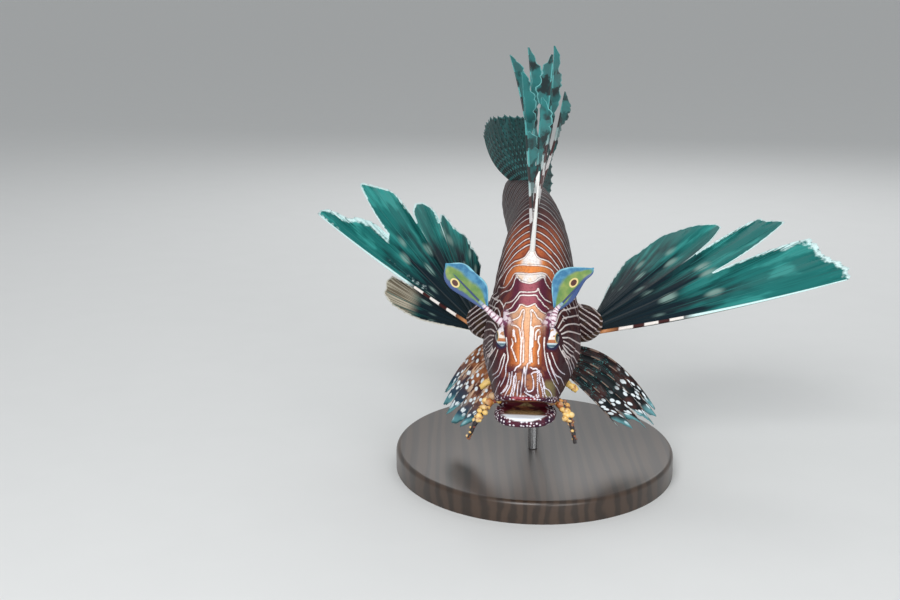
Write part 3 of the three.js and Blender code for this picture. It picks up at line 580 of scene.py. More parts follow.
# Pale lines of the face, each as a front view draws it: x, and the height seen from the front
FACE_LINES = [
    [(-18, 58.8), (
        -16.1, 61.2
    ), (-14.1, 64), (-11.4, 66.9), (-9.1, 68.7), (-6, 69.7), (-3.4, 71.1), (-2, 73.1),
     (-1.1, 74.6)],
    [(1.5, 74.6), (2.6, 72.2), (4.5, 70.6), (6.7, 70), (9.1, 69), (11.8, 66.5), (13.9, 64.2)],
    [(-14.7, 56.8), (-13, 61.8), (-10.2, 65.6), (-7.5, 66.7), (-3.8, 67.1), (-0.6, 66.8), (3.4, 66.9),
     (6.6, 66.6), (9.2, 65.7), (11, 64.3), (12.1, 61.9)],
    [(-17.6, 55.1), (-13.8, 55.1), (-11.7, 57.1), (-9.9, 59.9), (-9, 61.9), (-7.2, 62.6), (-0.6, 62.3),
     (4.9, 63), (6.8, 62.9), (8.3, 62.1), (10, 59.8), (11.2, 57.7)],
    [(-18.9, 48.5), (-15.6, 51.5), (-13.6, 52.8), (-10.5, 53.8), (-8.8, 56.3), (-8.2, 59.1), (-7.2, 60.7),
     (-6.5, 60.3), (-4.7, 58.6), (-2.2, 57.8), (-0, 57.5), (2.6, 58.3), (4.8, 60.2), (6.3, 60.8), (7.2, 60.3),
     (8, 58.1), (9.3, 56.1), (10.3, 55)],
    [(-12.9, 45.4), (-12.4, 46.9), (-10.5, 47.3), (-8.4, 48.3), (-6.8, 50.1), (-5.1, 52.6), (-4.3, 52.9),
     (0.1, 52.9), (3.5, 53.4), (4.5, 54.9), (5.4, 52.7), (6.9, 50.7), (8.2, 49.3), (11.1, 47.9)],
    [(-11.3, 43.1), (-10.4, 43.7), (-8.6, 45), (-7.2, 47.3), (-5.6, 49.4), (-4.5, 51.1), (0.2, 51.2),
     (3.7, 51.4), (4.7, 49.8), (6.5, 48.2), (7.8, 46.4), (9.3, 45.4), (10.3, 44.4)],
    [(-11.1, 40.6), (-9.9, 41.6), (-8.1, 42.3), (-6.4, 43), (-4.8, 45.3), (-4.2, 46.5), (-2.6, 46.2),
     (-0.7, 45.5), (0.8, 45.9), (2.5, 46.7), (3.4, 47), (4.3, 45.6), (5.8, 44.2), (7.3, 42.9), (9, 42.2)],
    [(-9, 38.1), (-7.2, 38.6), (-4.8, 39.8), (-3.9, 41.1), (-3.3, 43.1), (-2.5, 44), (-2, 43.6), (-2, 41.1),
     (-2.1, 39.3), (-2.4, 36.4), (-2.1, 33.1), (-1.4, 28.6), (-1.2, 22.8), (-0.9, 17.8)],
    [(-7.9, 36), (-5.8, 35.6), (-4, 34.3), (-3.4, 32.2), (-2.7, 28.6), (-2.6, 22.7), (-2.2, 16.7)],
    [(2.2, 16.9), (2, 22.8), (1.9, 28.7), (1.8, 33.2), (1.8, 37.6), (1.8, 40.9), (1.3, 43.2), (2, 44.1),
     (2.8, 43.2), (3.9, 41.8), (5.3, 39.7), (6.8, 39.1), (7.8, 36.9)],
    [(2.6, 35.3), (2.6, 31), (2.8, 22.8), (3.4, 17.9)],
    [(6.6, 35.9), (4.3, 35.6), (3.4, 34.4), (3.2, 32.2), (3.2, 28.7), (3.3, 25.4)],
    [(-7.3, 33.4), (-6.5, 31.7), (-5.7, 29.6), (-5.4, 27.6)],
    [(-7.4, 29.3), (-6.8, 26.6), (-7.3, 24.7), (-6.4, 22.6), (-5.3, 20), (-4.5, 18)],
    [(4.6, 29), (4.6, 32.1), (5.5, 33.8), (6.6, 33.9)],
    [(6.1, 30.7), (6, 28), (6.8, 26.4), (6.6, 24.5), (6.1, 22.8), (6.5, 19.9), (6.6, 16.9)],
    [(-10.1, 29.5), (-9.6, 25.4), (-9.7, 24.1), (-8.9, 19.1), (-9.8, 15.3), (-9.8, 11), (-11.1, 7.3),
     (-12.4, 4.9)],
    [(9.2, 30.3), (9.1, 26.9), (9.3, 23), (9.9, 19.7), (11.1, 14.8), (12.6, 11.3), (14.5, 7.1), (15.9, 4.8),
     (17.2, 1.3)],
    [(-16.2, 24), (-18.4, 20.9), (-20, 18.8)],
    [(-14.8, 22.9), (-15.9, 19.6), (-17.2, 16.6), (-18.5, 14.1), (-21.4, 10.2)],
    [(-11.1, 21.5), (-12.6, 18.1), (-13.6, 14), (-15.1, 11.6), (-17.9, 9.7)],
    [(-10.6, 20.8), (-11.2, 17), (-11.9, 14.1), (-13.4, 10.5), (-16, 8.4), (-18, 5.4)],
    [(-12.5, 7.7), (-14.2, 3.9), (-15.9, -0.1)],
    [(-6.4, 12.7), (-6.6, 9.8), (-7.1, 6), (-8.5, 3.1), (-9.9, 0.1), (-11.1, -1.5)],
    [(-8.3, 5.9), (-9.9, 3), (-12, 1.6)],
    [(-7.8, 12.1), (-8, 8.7), (-9, 5.4), (-10.7, 3)],
    [(-5.2, 10.6), (-5.5, 6.9), (-6.1, 3.3), (-7.3, -0.6)],
    [(-4.5, 12), (-4.2, 8.3), (-4.7, 4.8), (-5.3, 1.1), (-5.5, -0.8)],
    [(-2.7, 8.4), (-3.2, 4.2), (-3.5, -0.4)],
    [(-0.2, 15.2), (-0.8, 11.5), (-1.1, 7.9), (-1.5, 4.2), (-1.5, 1.4), (-2.6, -1.6)],
    [(1.3, 16.9), (0.8, 14.7), (0.6, 11.6), (0.6, 7.9), (0.7, 5.3), (1.9, 3.5), (3.4, 3.4), (4.6, 4.8),
     (4.6, 7.4), (4.1, 10.2), (3.3, 12)],
    [(0.3, 3.1), (1.9, 1.9), (4, 1.1), (5.8, -0.4)],
    [(6.4, 12.9), (6.5, 7.9), (6.7, 4.3), (7.3, 1.5), (7.2, -0), (5.9, 1.8)],
    [(7.2, 13.6), (7.4, 9.9), (8.2, 6.6), (9.2, 3.2), (9.6, 0), (10.1, -2.8)],
    [(7.9, 12.3), (9.2, 8.6), (10.4, 5.4), (12.3, 3.8), (13.5, 1.7), (14, -0.7)],
    [(8.9, 9.4), (9.8, 5.2), (10.5, 1.9), (12.1, -0.7), (11.8, -2.7)],
    [(-5.2, 13.2), (-4.4, 14.9), (-3.2, 15.6), (-2.2, 16.7)],
    [(2.7, 15.3), (4.1, 14.4), (5.5, 14.7), (6.8, 13.4)],
    [(3.3, 12), (4.7, 12.9), (6.4, 12.9)],
    [(10.7, 22.3), (12, 17.4), (13.6, 14.1), (15.3, 11.2), (17.5, 9.5), (19.1, 5.3)],
    [(12.6, 22.6), (13.8, 19.6), (15.1, 16.2), (17.1, 13.1), (19.3, 11.2)],
    [(16.2, 25.8), (17.4, 22.9), (19.3, 19.4), (20.6, 16.4)],
    [(17.9, 26), (20.8, 21.9), (23.6, 19.2)],
    [(11.9, 19), (13.2, 13.9), (15, 10), (16.5, 6.6)],
]
# Pale lines of a cheek, from the eye's rim down and back, as a side view draws them: station and height
CHEEK_LINES = [
    [(27.5, 8), (29.5, 0), (32, -9), (37, -18), (44, -25)],
    [(28.5, 8.2), (31, 0.5), (34.5, -8.5), (40, -17.5), (47, -24.5)],
    [(30, 8.5), (33.5, 1), (37.5, -8), (43, -17), (51, -24)],
    [(31.5, 9.4), (36, 2.6), (40.5, -6), (47, -15), (56, -21.5)],
    [(33, 10.5), (38.5, 4), (44, -4), (52, -13), (60, -19)],
    [(34, 12), (41, 6.4), (47.5, -1), (56, -9.5), (65, -15.5)],
    [(35, 13.5), (43, 9), (51, 2), (60, -6), (69, -12)],
    [(35.3, 15.2), (44.5, 12), (54, 5.6), (63, -2), (71.5, -8)],
    [(35.5, 17), (46, 15), (56, 9), (66, 2), (74, -4)],
    [(35.2, 19), (47, 18.2), (58, 12.6), (68, 6), (77, 0.5)],
    [(35, 21), (48, 21.5), (60, 16), (70, 10), (80, 5)],
]
# Edges of the zones of the nape and forehead: distances from the middle, and the height of each edge there
ZONE_EDGES = {
    "crown": ([0, 1.2, 2, 3.4, 6, 9.1, 11.4, 14.1, 18], [78, 74.6, 73, 71, 69.8, 68.8, 66.8, 64, 58.5]),
    "upper": ([0, 4, 7, 9.2, 11, 12.1, 13, 14.7, 18], [66.9, 66.9, 66.7, 65.7, 64.3, 62, 61.5, 57, 50]),
    "middle": ([0, 5, 7, 8.3, 9.4, 10, 11.7, 13.8, 18], [62.5, 63, 62.8, 62, 61, 59.9, 57.1, 55.2, 54]),
    "lower": (
        [0, 2.2, 4.7, 6.4, 7.2, 8, 8.8, 10.5, 13.6, 18.9],
        [57.5, 57.9, 59.2, 60.5, 60.4, 58.8, 56.3, 53.9, 52.6, 48.5],
    ),
    "brow": ([0, 1.5, 3, 4.3, 6, 8, 11, 14], [45.7, 46.2, 46.9, 45.5, 43.4, 42.3, 40.6, 38]),
}
# Stations of the pale lines across the nape and back
BACK_LINES = [
    39.3, 44.4, 46.9, 51.6, 55.2, 59.9, 65.6, 71.4, 75.7, 80.7, 86, 91.8, 96.4, 102.5, 106.8, 113, 117.4,
    123.6, 128,
]
# Heights, seen from the front, of the pale crescent behind the lower lip and of the arch under the upper lip
CRESCENT_TOP = -8.9
CRESCENT_FOOT = ([0, 4, 8, 11, 13], [-11.9, -11.5, -10.4, -9.0, -8.4])
MOUTH_ARCH = ([0, 6.2, 9, 12], [-3.4, -6.9, -7.5, -8.4])
SEEN_DEG = 37
UP_SEEN = np.array([0, math.sin(math.radians(SEEN_DEG)), math.cos(math.radians(SEEN_DEG))])
AWAY_SEEN = np.array([0, math.cos(math.radians(SEEN_DEG)), -math.sin(math.radians(SEEN_DEG))])


def loft(name, start, end, rings, around):
    piece, u, v = sheet(name, around, rings)
    put(piece, skin_points(start + (end - start) * v, 2 * math.pi * u))
    sew(piece)
    return piece


def halve(piece, point, normal):
    """Cuts a closed piece by a plane and keeps the half that the normal points away from."""
    select_only(piece)
    bpy.ops.object.mode_set(mode="EDIT")
    bpy.ops.mesh.select_all(action="SELECT")
    bpy.ops.mesh.bisect(plane_co=point, plane_no=normal, use_fill=True, clear_outer=True, clear_inner=False)
    bpy.ops.object.mode_set(mode="OBJECT")


def about_corner(points, degrees):
    angle = math.radians(degrees)
    s, z = points[:, 1] - MOUTH_CORNER[0], points[:, 2] - MOUTH_CORNER[1]
    turned_s = s * math.cos(angle) - z * math.sin(angle) + MOUTH_CORNER[0]
    turned_z = s * math.sin(angle) + z * math.cos(angle) + MOUTH_CORNER[1]
    return np.stack([points[:, 0], turned_s, turned_z], 1)


def mouth_height(s):
    share = (s - MOUTH_FRONT[0]) / (MOUTH_CORNER[0] - MOUTH_FRONT[0])
    return MOUTH_FRONT[1] + share * (MOUTH_CORNER[1] - MOUTH_FRONT[1])


def lip_path(offset):
    """The mouth line round the snout from the right corner to the left, a little above or below it."""
    stations = (14.5, 10.5, 6.5, 3, 0, -1.7)
    heights = [mouth_height(s) + offset for s in stations]
    half = [[half_width(s, z) - LIP_SUNK, s, z] for s, z in zip(stations, heights)]
    front = [[0, LIP_FRONT, mouth_height(LIP_FRONT) + offset]]
    return np.array([[-x, s, z] for x, s, z in half] + front + half[::-1])


def lip(name, shape):
    thick = lambda f: shape["radius"] * (0.6 + 0.4 * math.sin(math.pi * f))
    return tube(name, lip_path(shape["offset"]), thick, 16, 70)


def opened(points):
    """Points of the shut jaw, where the open one has them."""
    return about_corner(points, JAW_OPEN_DEG) + JAW_FORWARD


def jaw():
    piece = loft("jaw", -2, 40, 60, 72)
    piece = joined([piece, lip("lower_lip", LOWER_LIP)], "jaw")
    shaped(piece, "REMESH", mode="VOXEL", voxel_size=settings("skin_settings").cell * 0.9)
    run = MOUTH_CORNER - MOUTH_FRONT
    halve(piece, (0, *MOUTH_CORNER), (0, -run[1], run[0]))
    drop = JAW_REAR - MOUTH_CORNER
    halve(piece, (0, *(MOUTH_CORNER - JAW_FORWARD[1:])), (0, -drop[1], drop[0]))
    put(piece, opened(places(piece)))
    return piece


def upper_body():
    """The body above the mouth line, and the body behind the opened jaw."""
    run = MOUTH_CORNER - MOUTH_FRONT
    above = joined([loft("above", -2, BODY_LENGTH, 240, 110), lip("upper_lip", UPPER_LIP)], "above")
    shaped(above, "REMESH", mode="VOXEL", voxel_size=settings("skin_settings").cell * 0.9)
    halve(above, (0, *MOUTH_CORNER), (0, run[1], -run[0]))
    behind = loft("behind", -2, 70, 70, 90)
    drop = about_corner(np.array([[0, *JAW_REAR]]), JAW_OPEN_DEG)[0, 1:] - MOUTH_CORNER
    halve(behind, (0, *(MOUTH_CORNER - [0.6, 0.4])), (0, drop[1], -drop[0]))
    return [above, behind]


def brow_ridge(side):
    path = [mirrored(p, side) for p in BROW_PATH]
    return tube("brow", path, lambda f: 0.8 + 1.6 * math.sin(math.pi * f), 12, 30)


def lid_ring(side):
    """The rounded rim of skin round an eye."""
    gaze = mirrored(EYE_GAZE, side)
    bpy.ops.object.select_all(action="DESELECT")
    bpy.ops.mesh.primitive_torus_add(
        major_radius=EYE_RADIUS - 0.15, minor_radius=1.1, major_segments=48, minor_segments=12
    )
    piece = bpy.context.object
    turn = Vector((0, 0, 1)).rotation_difference(Vector(gaze)).to_matrix()
    put(piece, places(piece) @ np.array(turn).T + mirrored(EYE_CENTRE, side) + 1.8 * gaze)
    return piece


def cheek_ridge(side):
    """The low bony ridge that runs back from under the eye."""
    path = [mirrored(p, side) for p in CHEEK_PATH]
    return tube("ridge", path, lambda f: 0.5 + 1.1 * math.sin(math.pi * f), 10, 24)


def build_skin():
    cell = settings("skin_settings").cell
    pieces = [*upper_body(), jaw()]
    for side in SIDES.values():
        pieces += [brow_ridge(side), lid_ring(side), cheek_ridge(side)]
        pieces.append(ball("pectoral_base", mirrored(PECTORAL_BASE, side), PECTORAL_BASE_RADII, 40, 28))
        for at, reach in NOSTRILS:
            pieces.append(ball("nostril", mirrored(at, side), np.array([0.8, 0.8, reach]), 12, 10))
    skin = joined(pieces, "skin")
    shaped(skin, "REMESH", mode="VOXEL", voxel_size=cell)
    shaped(skin, "SMOOTH", factor=0.5, iterations=5)
    return skin


def inside_outline(points, outline):
    """Distance inside a closed outline in station and height, negative outside."""
    a = np.array(outline, float)
    b = np.roll(a, -1, 0)
    p = points[:, None, 1:]
    run = b - a
    share = np.clip(((p - a) * run).sum(2) / (run**2).sum(1), 0, 1)
    away = np.linalg.norm(p - a - share[:, :, None] * run, axis=2).min(1)
    y, y1, y2 = p[:, :, 1], a[:, 1], b[:, 1]
    crosses = (y1 > y) != (y2 > y)
    with np.errstate(divide="ignore", invalid="ignore"):
        at = (run[:, 0] * (y - y1) / run[:, 1]) + a[:, 0]
    odd = (crosses & (p[:, :, 0] < at)).sum(1) % 2 == 1
    return np.where(odd, away, -away)


def mouth_depths(p):
    """Depth below the roof of the mouth and height above its floor."""
    run = MOUTH_CORNER - MOUTH_FRONT
    length = np.linalg.norm(run)
    shut = about_corner(p - JAW_FORWARD, -JAW_OPEN_DEG)
    depth = ((p[:, 1] - MOUTH_FRONT[0]) * run[1] - (p[:, 2] - MOUTH_FRONT[1]) * run[0]) / length
    height = ((shut[:, 2] - MOUTH_FRONT[1]) * run[0] - (shut[:, 1] - MOUTH_FRONT[0]) * run[1]) / length
    return depth, height


def lip_distances(p):
    upper, lower = (smooth_curve(lip_path(shape["offset"]), 300) for shape in (UPPER_LIP, LOWER_LIP))
    return distance_to([upper], p, 30), distance_to([opened(lower)], p, 30)


def in_mouth(p):
    depth, height = mouth_depths(p)
    width = np.interp(p[:, 1], [-5, -2, 2, 6, 14], [6, 9, 12, 14, 15.5])
    return (depth > 0.25) & (height > -0.5) & (np.abs(p[:, 0]) < width) & (p[:, 1] < 15)


def relief(skin):
    """Raises the gill covers and hollows the roof and the floor of the mouth."""
    p = places(skin)
    outline = smooth_curve(GILL_COVER + GILL_COVER[:1], 60)[:-1]
    near = (np.abs(p[:, 0]) > 6) & (p[:, 1] > 35) & (p[:, 1] < 85)
    lift = np.zeros(len(p))
    inside = inside_outline(p[near], outline)
    edge = smooth_step(-1.4, 0.6, inside) - 0.55 * np.exp(-(((inside + 1.9) / 0.9) ** 2))
    lift[near] = 0.85 * edge * smooth_step(40, 56, p[near, 1])
    lift += 0.12 * ripple(p, 9, 3)
    depth, height = mouth_depths(p)
    upper, lower = lip_distances(p)
    mouth = in_mouth(p)
    lift[mouth & (depth < 1.2)] = (-3.0 * smooth_step(1.5, 6, upper))[mouth & (depth < 1.2)]
    lift[mouth & (height < 0.8)] = (-0.9 * smooth_step(3.0, 9, lower))[mouth & (height < 0.8)]
    put(skin, p + normals(skin) * lift[:, None])


def distance_to(lines, points, limit=4.0):
    """Distance from points to the nearest of many dense lines."""
    dots = np.vstack(lines)
    tree = kdtree.KDTree(len(dots))
    for i, dot in enumerate(dots):
        tree.insert(dot, i)
    tree.balance()
    return np.array([min(limit, tree.find(point)[2]) for point in points])


def drawn_lines(skin):
    """The pale lines of the face and cheeks, laid on the skin."""
    tree = BVHTree.FromPolygons([v.co for v in skin.data.vertices], [p.vertices for p in skin.data.polygons])
    lines = []
    for drawn in FACE_LINES:
        flat = smooth_curve(drawn, 90)
        start = flat[:, :1] * X + flat[:, 1:] * UP_SEEN - 200 * AWAY_SEEN
        hits = [tree.ray_cast(Vector(p), Vector(AWAY_SEEN))[0] for p in start]
        lines.append(np.array([h for h in hits if h is not None]))
    for drawn in CHEEK_LINES:
        flat = smooth_curve(drawn, 140)
        for side in SIDES.values():
            start = np.stack([np.full(len(flat), side * 80.0), flat[:, 0], flat[:, 1]], 1)
            hits = [tree.ray_cast(Vector(p), Vector((-side, 0, 0)))[0] for p in start]
            lines.append(np.array([h for h in hits if h is not None]))
    return lines


def back_lines(p):
    """Distance to the nearest pale line across the back and sides, and which band a point is in."""
    stations = list(BACK_LINES)
    while stations[-1] < BODY_LENGTH:
        stations += [stations[-1] + 5.6, stations[-1] + 9.6]
    stations = np.array(stations)
    low = smooth_step(6, -26, p[:, 2])
    s = p[:, 1] + 0.55 * ripple(p, 26, 1) + 5 * low * smooth_step(60, 90, p[:, 1])
    s += 1.6 * np.exp(
        -((np.abs(p[:, 0]) - 5.5) / 2.6) ** 2
    ) * smooth_step(66, 56, p[:, 1]) * (p[:, 2] > 18) * -1
    band = np.searchsorted(stations, s)
    below = stations[np.clip(band - 1, 0, len(stations) - 1)]
    above = stations[np.clip(band, 0, len(stations) - 1)]
    return np.minimum(np.abs(s - below), np.abs(above - s)), band


def folded(p):
    """Points of both sides, laid over the left one."""
    return np.column_stack([np.abs(p[:, 0]), p[:, 1:]])


def within(value, low, top):
    """1 between two edges and 0 outside them, with a soft step at each."""
    return smooth_step(-0.35, 0.35, value - low) * smooth_step(0.35, -0.35, value - top)


def stripes(skin, p, side, height):
    """Distance to the nearest pale line, number of the band, and share of a pectoral fin's base."""
    drawn = distance_to(drawn_lines(skin), p)
    bars, band = back_lines(p)
    high = smooth_step(4, 16, p[:, 2] - 0.2 * (p[:, 1] - 40))
    starts = 40 + (1 - high) * 24 + 9 * (1 - high) * smooth_step(2, -16, p[:, 2])
    crown = np.interp(side, *ZONE_EDGES["crown"])
    ahead = smooth_step(2.0, -1.5, height - crown) * smooth_step(17.5, 13.5, side) * (p[:, 2] > 8)
    bars = bars + 5 * np.maximum(smooth_step(starts + 1.0, starts - 3.0, p[:, 1]), ahead)
    base = np.linalg.norm((folded(p) - PECTORAL_BASE) / PECTORAL_BASE_RADII, axis=1)
    on_base = smooth_step(1.3, 1.12, base) * smooth_step(22, 25, side)
    rows = (height + 0.75 * side + 1.3 * ripple(p, 17, 5)) / 3.3
    base_lines = np.abs(rows - np.rint(rows)) * 2.9
    bars = bars * (1 - on_base) + base_lines * on_base
    drawn = drawn + 4 * on_base
    drawn = drawn + 0.07 * smooth_step(15, 11, height) * (p[:, 1] < 30)
    return np.minimum(drawn, bars), band, on_base


def mark_zones(skin, p, side, height):
    """Stores the shares of the colours of nape, forehead and snout, and of the skin round the eyes."""
    edge = {name: np.interp(side, *rows) for name, rows in ZONE_EDGES.items()}
    lower, middle = within(
        height, edge["lower"], edge["middle"]
    ), within(height, edge["middle"], edge["upper"])
    upper = within(height, edge["upper"], edge["crown"])
    crest = smooth_step(17, 12, side) * (p[:, 2] > 5)
    cream = lower * smooth_step(8.2, 7.2, side) + upper * smooth_step(6.5, 3.5, side)
    orange = middle * crest + upper * smooth_step(12, 5, side)
    mauve = within(height, edge["brow"], edge["lower"]) * smooth_step(11, 7.5, side)
    forehead = smooth_step(0.35, -0.35, height - edge["brow"]) * smooth_step(13.5, 17.5, height)
    forehead = forehead * smooth_step(10.2, 9.2, side) * (p[:, 1] < 45)
    record(skin, cream=cream, orange=np.clip(orange, 0, 1), mauve=mauve, forehead=forehead)
    eye = np.linalg.norm(folded(p) - EYE_CENTRE, axis=1)
    stalks = [smooth_curve([mirrored(q, turn) for q in STALK_FOOT], 30) for turn in SIDES.values()]
    olive = smooth_step(9.4, 10.6, p[:, 0]) * smooth_step(16, 14.4, p[:, 0])
    olive = olive * smooth_step(-4, -2.5, height) * smooth_step(10, 7, height) * (p[:, 1] < 28)
    record(skin, lid=smooth_step(8.0, 7.0, eye) * smooth_step(8.6, 10.6, side), olive=olive)
    record(skin, socket=smooth_step(4.4, 2.4, distance_to(stalks, p, 9)))


def mark_mouth(skin, p, side, height):
    """Stores the shares of lips, beads, the pale crescent on the floor and the arch under the upper lip."""
    upper, lower = lip_distances(p)
    above_floor = mouth_depths(p)[1]
    # crescent: the pale floor, which the finish paints near white, brightened as painted light
    crescent = smooth_step(CRESCENT_TOP + 0.3, CRESCENT_TOP - 0.3, height)
    crescent = crescent * smooth_step(-0.3, 0.3, height - np.interp(side, *CRESCENT_FOOT))
    crescent = crescent * (
        smooth_step(12.6, 11.6, side) * (lower < 9) * (above_floor > -2.6) * (p[:, 1] < 16)
    )
    lips = np.maximum(smooth_step(3.0, 2.2, upper), smooth_step(3.2, 2.4, lower)) * (1 - crescent)
    bead = np.maximum(smooth_step(3.3, 2.4, upper), smooth_step(4.0, 3.0, lower)) * (1 - crescent)
    # arch: height above the arch line, over which the finish paints the mouth dark red, partly as the upper
    # lip's painted shadow
    arch = height - np.interp(side, *MOUTH_ARCH)
    seam = smooth_step(0.55, 0.25, np.abs(arch)) * smooth_step(6.6, 6.0, side) * (upper < 9)
    red = smooth_step(7, 5.5, side) * smooth_step(2.8, 1.8, upper)
    record(skin, lip=lips, bead=bead, floor=crescent, arch=arch, seam=seam, red=red)
    record(skin, inner=in_mouth(p).astype(float))


def mark(skin):
    """Stores on the skin the distance to the nearest pale line and the shares of each colour."""
    p = places(skin)
    side = np.abs(p[:, 0])
    height = p @ UP_SEEN
    line, band, on_base = stripes(skin, p, side, height)
    record(skin, line=line, band=(band % 2).astype(float), base=on_base, side=side, height=height)
    # rear is the share of the painted shade over the rear body
    record(skin, rear=smooth_step(74, 112, p[:, 1]), low=smooth_step(-10, -26, p[:, 2]))
    mark_zones(skin, p, side, height)
    mark_mouth(skin, p, side, height)


def skin_finish():
    """Brown-red bands between thin pale lines, an orange and cream forehead that is partly a painted
    highlight, beaded lips, a pale mouth floor brightened as painted light, and painted shade over the rear,
    the flanks and the mouth under the upper lip.
    """
    look = settings("skin_settings")
    finish = Finish("striped_skin", Roughness=0.55, Coat_Weight=0.04, Coat_Roughness=0.25)
    finish.shader.inputs["Specular IOR Level"].default_value = 0.16
    grain = finish.noise(900, 4)
    cloud = finish.noise(170, 3)
    line, side, height = finish.value("line"), finish.value("side"), finish.value("height")
    core = finish.between(line, 0.7, 1.8)
    colour = finish.mix("band", look.band, look.second)
    colour = finish.mix(finish.between(cloud, 0.45, 0.70, 0.0, 0.8), colour, look.second)
    # The forehead, nape and the zones between them
    nape = finish.times(
        finish.between(side, 22, 11),
        finish.times(finish.between(height, 60, 70), finish.between(height, 94, 80)),
    )
    warm = finish.times(nape, finish.times(core, finish.between(cloud, 0.3, 0.6, 0.35, 1.0)))
    colour = finish.mix(warm, colour, look.nape)
    mauve = finish.mix(finish.between(side, 2.0, 6.5), (0.40, 0.11, 0.14), (0.12, 0.02, 0.045))
    colour = finish.mix("mauve", colour, mauve)
    orange = finish.mix(finish.between(side, 5, 12), look.forehead, look.nape)
    colour = finish.mix("orange", colour, orange)
    # The forehead's orange, brightest in the middle and darker brown towards the sides, and the cream on its
    # upper part and down its middle are partly the skin's own colour and partly a painted highlight
    forehead = finish.mix(finish.between(side, 3.0, 6.0), look.forehead, (0.42, 0.115, 0.03))
    forehead = finish.mix(finish.between(side, 6.8, 8.6), forehead, (0.17, 0.035, 0.025))
    forehead = finish.mix(
        finish.times(finish.between(height, 29, 40), finish.between(side, 11, 8.5, 0.0, 0.45)), forehead,
        look.cream,
    )
    forehead = finish.mix(finish.between(side, 1.9, 0.6, 0.0, 0.3), forehead, look.cream)
    colour = finish.mix("forehead", colour, forehead)
    colour = finish.mix("cream", colour, finish.mix(finish.between(cloud, 0.45, 0.75), look.pale, look.cream))
    snout = finish.times(
        finish.times(finish.between(height, 18, 13), finish.between(side, 12, 6)),
        finish.between(cloud, 0.35, 0.6, 0.3, 0.9),
    )
    ruddy = finish.mix(finish.between(cloud, 0.44, 0.56), (0.13, 0.032, 0.032), (0.40, 0.15, 0.065))
    colour = finish.mix(snout, colour, ruddy)
    colour = finish.mix(finish.times("olive", 0.8), colour, (0.26, 0.22, 0.09))
    # Olive fin bases, painted shade that makes the rear darker and cooler and the flanks darker, a paler
    # throat
    base = finish.mix(
        finish.between(finish.noise(110, 3), 0.42, 0.6), (0.05, 0.025, 0.012), (0.26, 0.18, 0.06)
    )
    colour = finish.mix(finish.times("base", 0.85), colour, base)
    # Painted shade: the rear body turns near black, as in shadow
    rear = finish.times("rear", 0.8)
    colour = finish.mix(rear, colour, look.rear)
    colour = finish.mix(finish.times("low", 0.4), colour, (0.30, 0.17, 0.12))
    # Painted shade: the flanks, turning away from the front light, darken nearly to black over their own
    # darker red-brown
    colour = finish.mix(finish.between(side, 11, 19, 0.0, 0.80), colour, (0.016, 0.004, 0.007))
    colour = finish.mix(finish.between(grain, 0.42, 0.75, 0.0, 0.3), colour, (0.03, 0.008, 0.010))
    wobble = finish.centred(finish.noise(520, 2), 0.13)
    distance = finish.plus(line, wobble)
    pale = finish.between(distance, look.line - 0.16, look.line + 0.14, 1.0, 0.0)
    line_colour = finish.mix(finish.between(height, 20, 12), look.pale, (0.80, 0.78, 0.88))
    # Painted shade: the pale lines dim to dark grey teal on the rear
    line_colour = finish.mix(rear, line_colour, (0.09, 0.15, 0.16))
    # Painted shade: the lines grow dimmer and greyer towards the flanks
    line_colour = finish.mix(finish.between(side, 13, 24, 0.0, 0.5), line_colour, (0.22, 0.18, 0.20))
    line_colour = finish.mix(
        finish.between(finish.noise(420, 2), 0.4, 0.7, 0.0, 0.35), line_colour, (0.62, 0.36, 0.30)
    )
    shade = finish.between(distance, look.line + 0.1, look.line + 0.5, 0.55, 0.0)
    colour = finish.mix(
        finish.times(shade, finish.between(pale, 0.0, 1.0, 1.0, 0.0)), colour, (0.03, 0.006, 0.010)
    )
    colour = finish.mix(pale, colour, line_colour)
    # Lips, dark with pale beads, round a mouth that is darker towards its corners, dark red above the arch,
    # partly as painted shadow of the upper lip, and pale on its floor, brightened there as painted light
    mouth = finish.mix(finish.between(grain, 0.3, 0.7), (0.17, 0.10, 0.04), (0.36, 0.25, 0.12))
    mouth = finish.mix(finish.between(side, 5.5, 11), mouth, (0.05, 0.018, 0.016))
    # Above the arch the mouth is dark red: partly the red V under the upper lip, partly painted shadow of the
    # upper lip
    mouth = finish.mix(finish.between("arch", -0.3, 0.3), mouth, (0.11, 0.010, 0.020))
    colour = finish.mix("inner", colour, mouth)
    colour = finish.mix("lid", colour, (0.02, 0.022, 0.07))
    socket = finish.mix(
        finish.between(finish.scattered(380, 0.8), 0.45, 0.62), (0.78, 0.66, 0.72), (0.20, 0.06, 0.12)
    )
    colour = finish.mix(finish.times("socket", 0.9), colour, socket)
    lip_colour = finish.mix(finish.between(cloud, 0.4, 0.6), (0.032, 0.010, 0.030), (0.085, 0.018, 0.034))
    beads = finish.between(finish.scattered(620, 0.62), 0.30, 0.40, 1.0, 0.0)
    colour = finish.mix("lip", colour, lip_colour)
    red = finish.mix(finish.between(cloud, 0.4, 0.6), (0.20, 0.008, 0.02), (0.42, 0.10, 0.12))
    colour = finish.mix("red", colour, red)
    colour = finish.mix(finish.times(beads, "bead"), colour, (0.80, 0.74, 0.80))
    colour = finish.mix("seam", colour, (0.66, 0.34, 0.40))
    # The pale floor: a pale lining, brightened near white as painted light against the shade inside the mouth
    colour = finish.mix("floor", colour, (0.86, 0.92, 0.98))
    finish.to("Base Color", colour)
    scales = finish.scattered(1150, 1.0)
    height = finish.plus(finish.times(scales, 0.6), finish.times(pale, 0.35))
    finish.bump(finish.plus(height, finish.times(beads, "bead")), 0.00025, 0.5)
    return finish.material


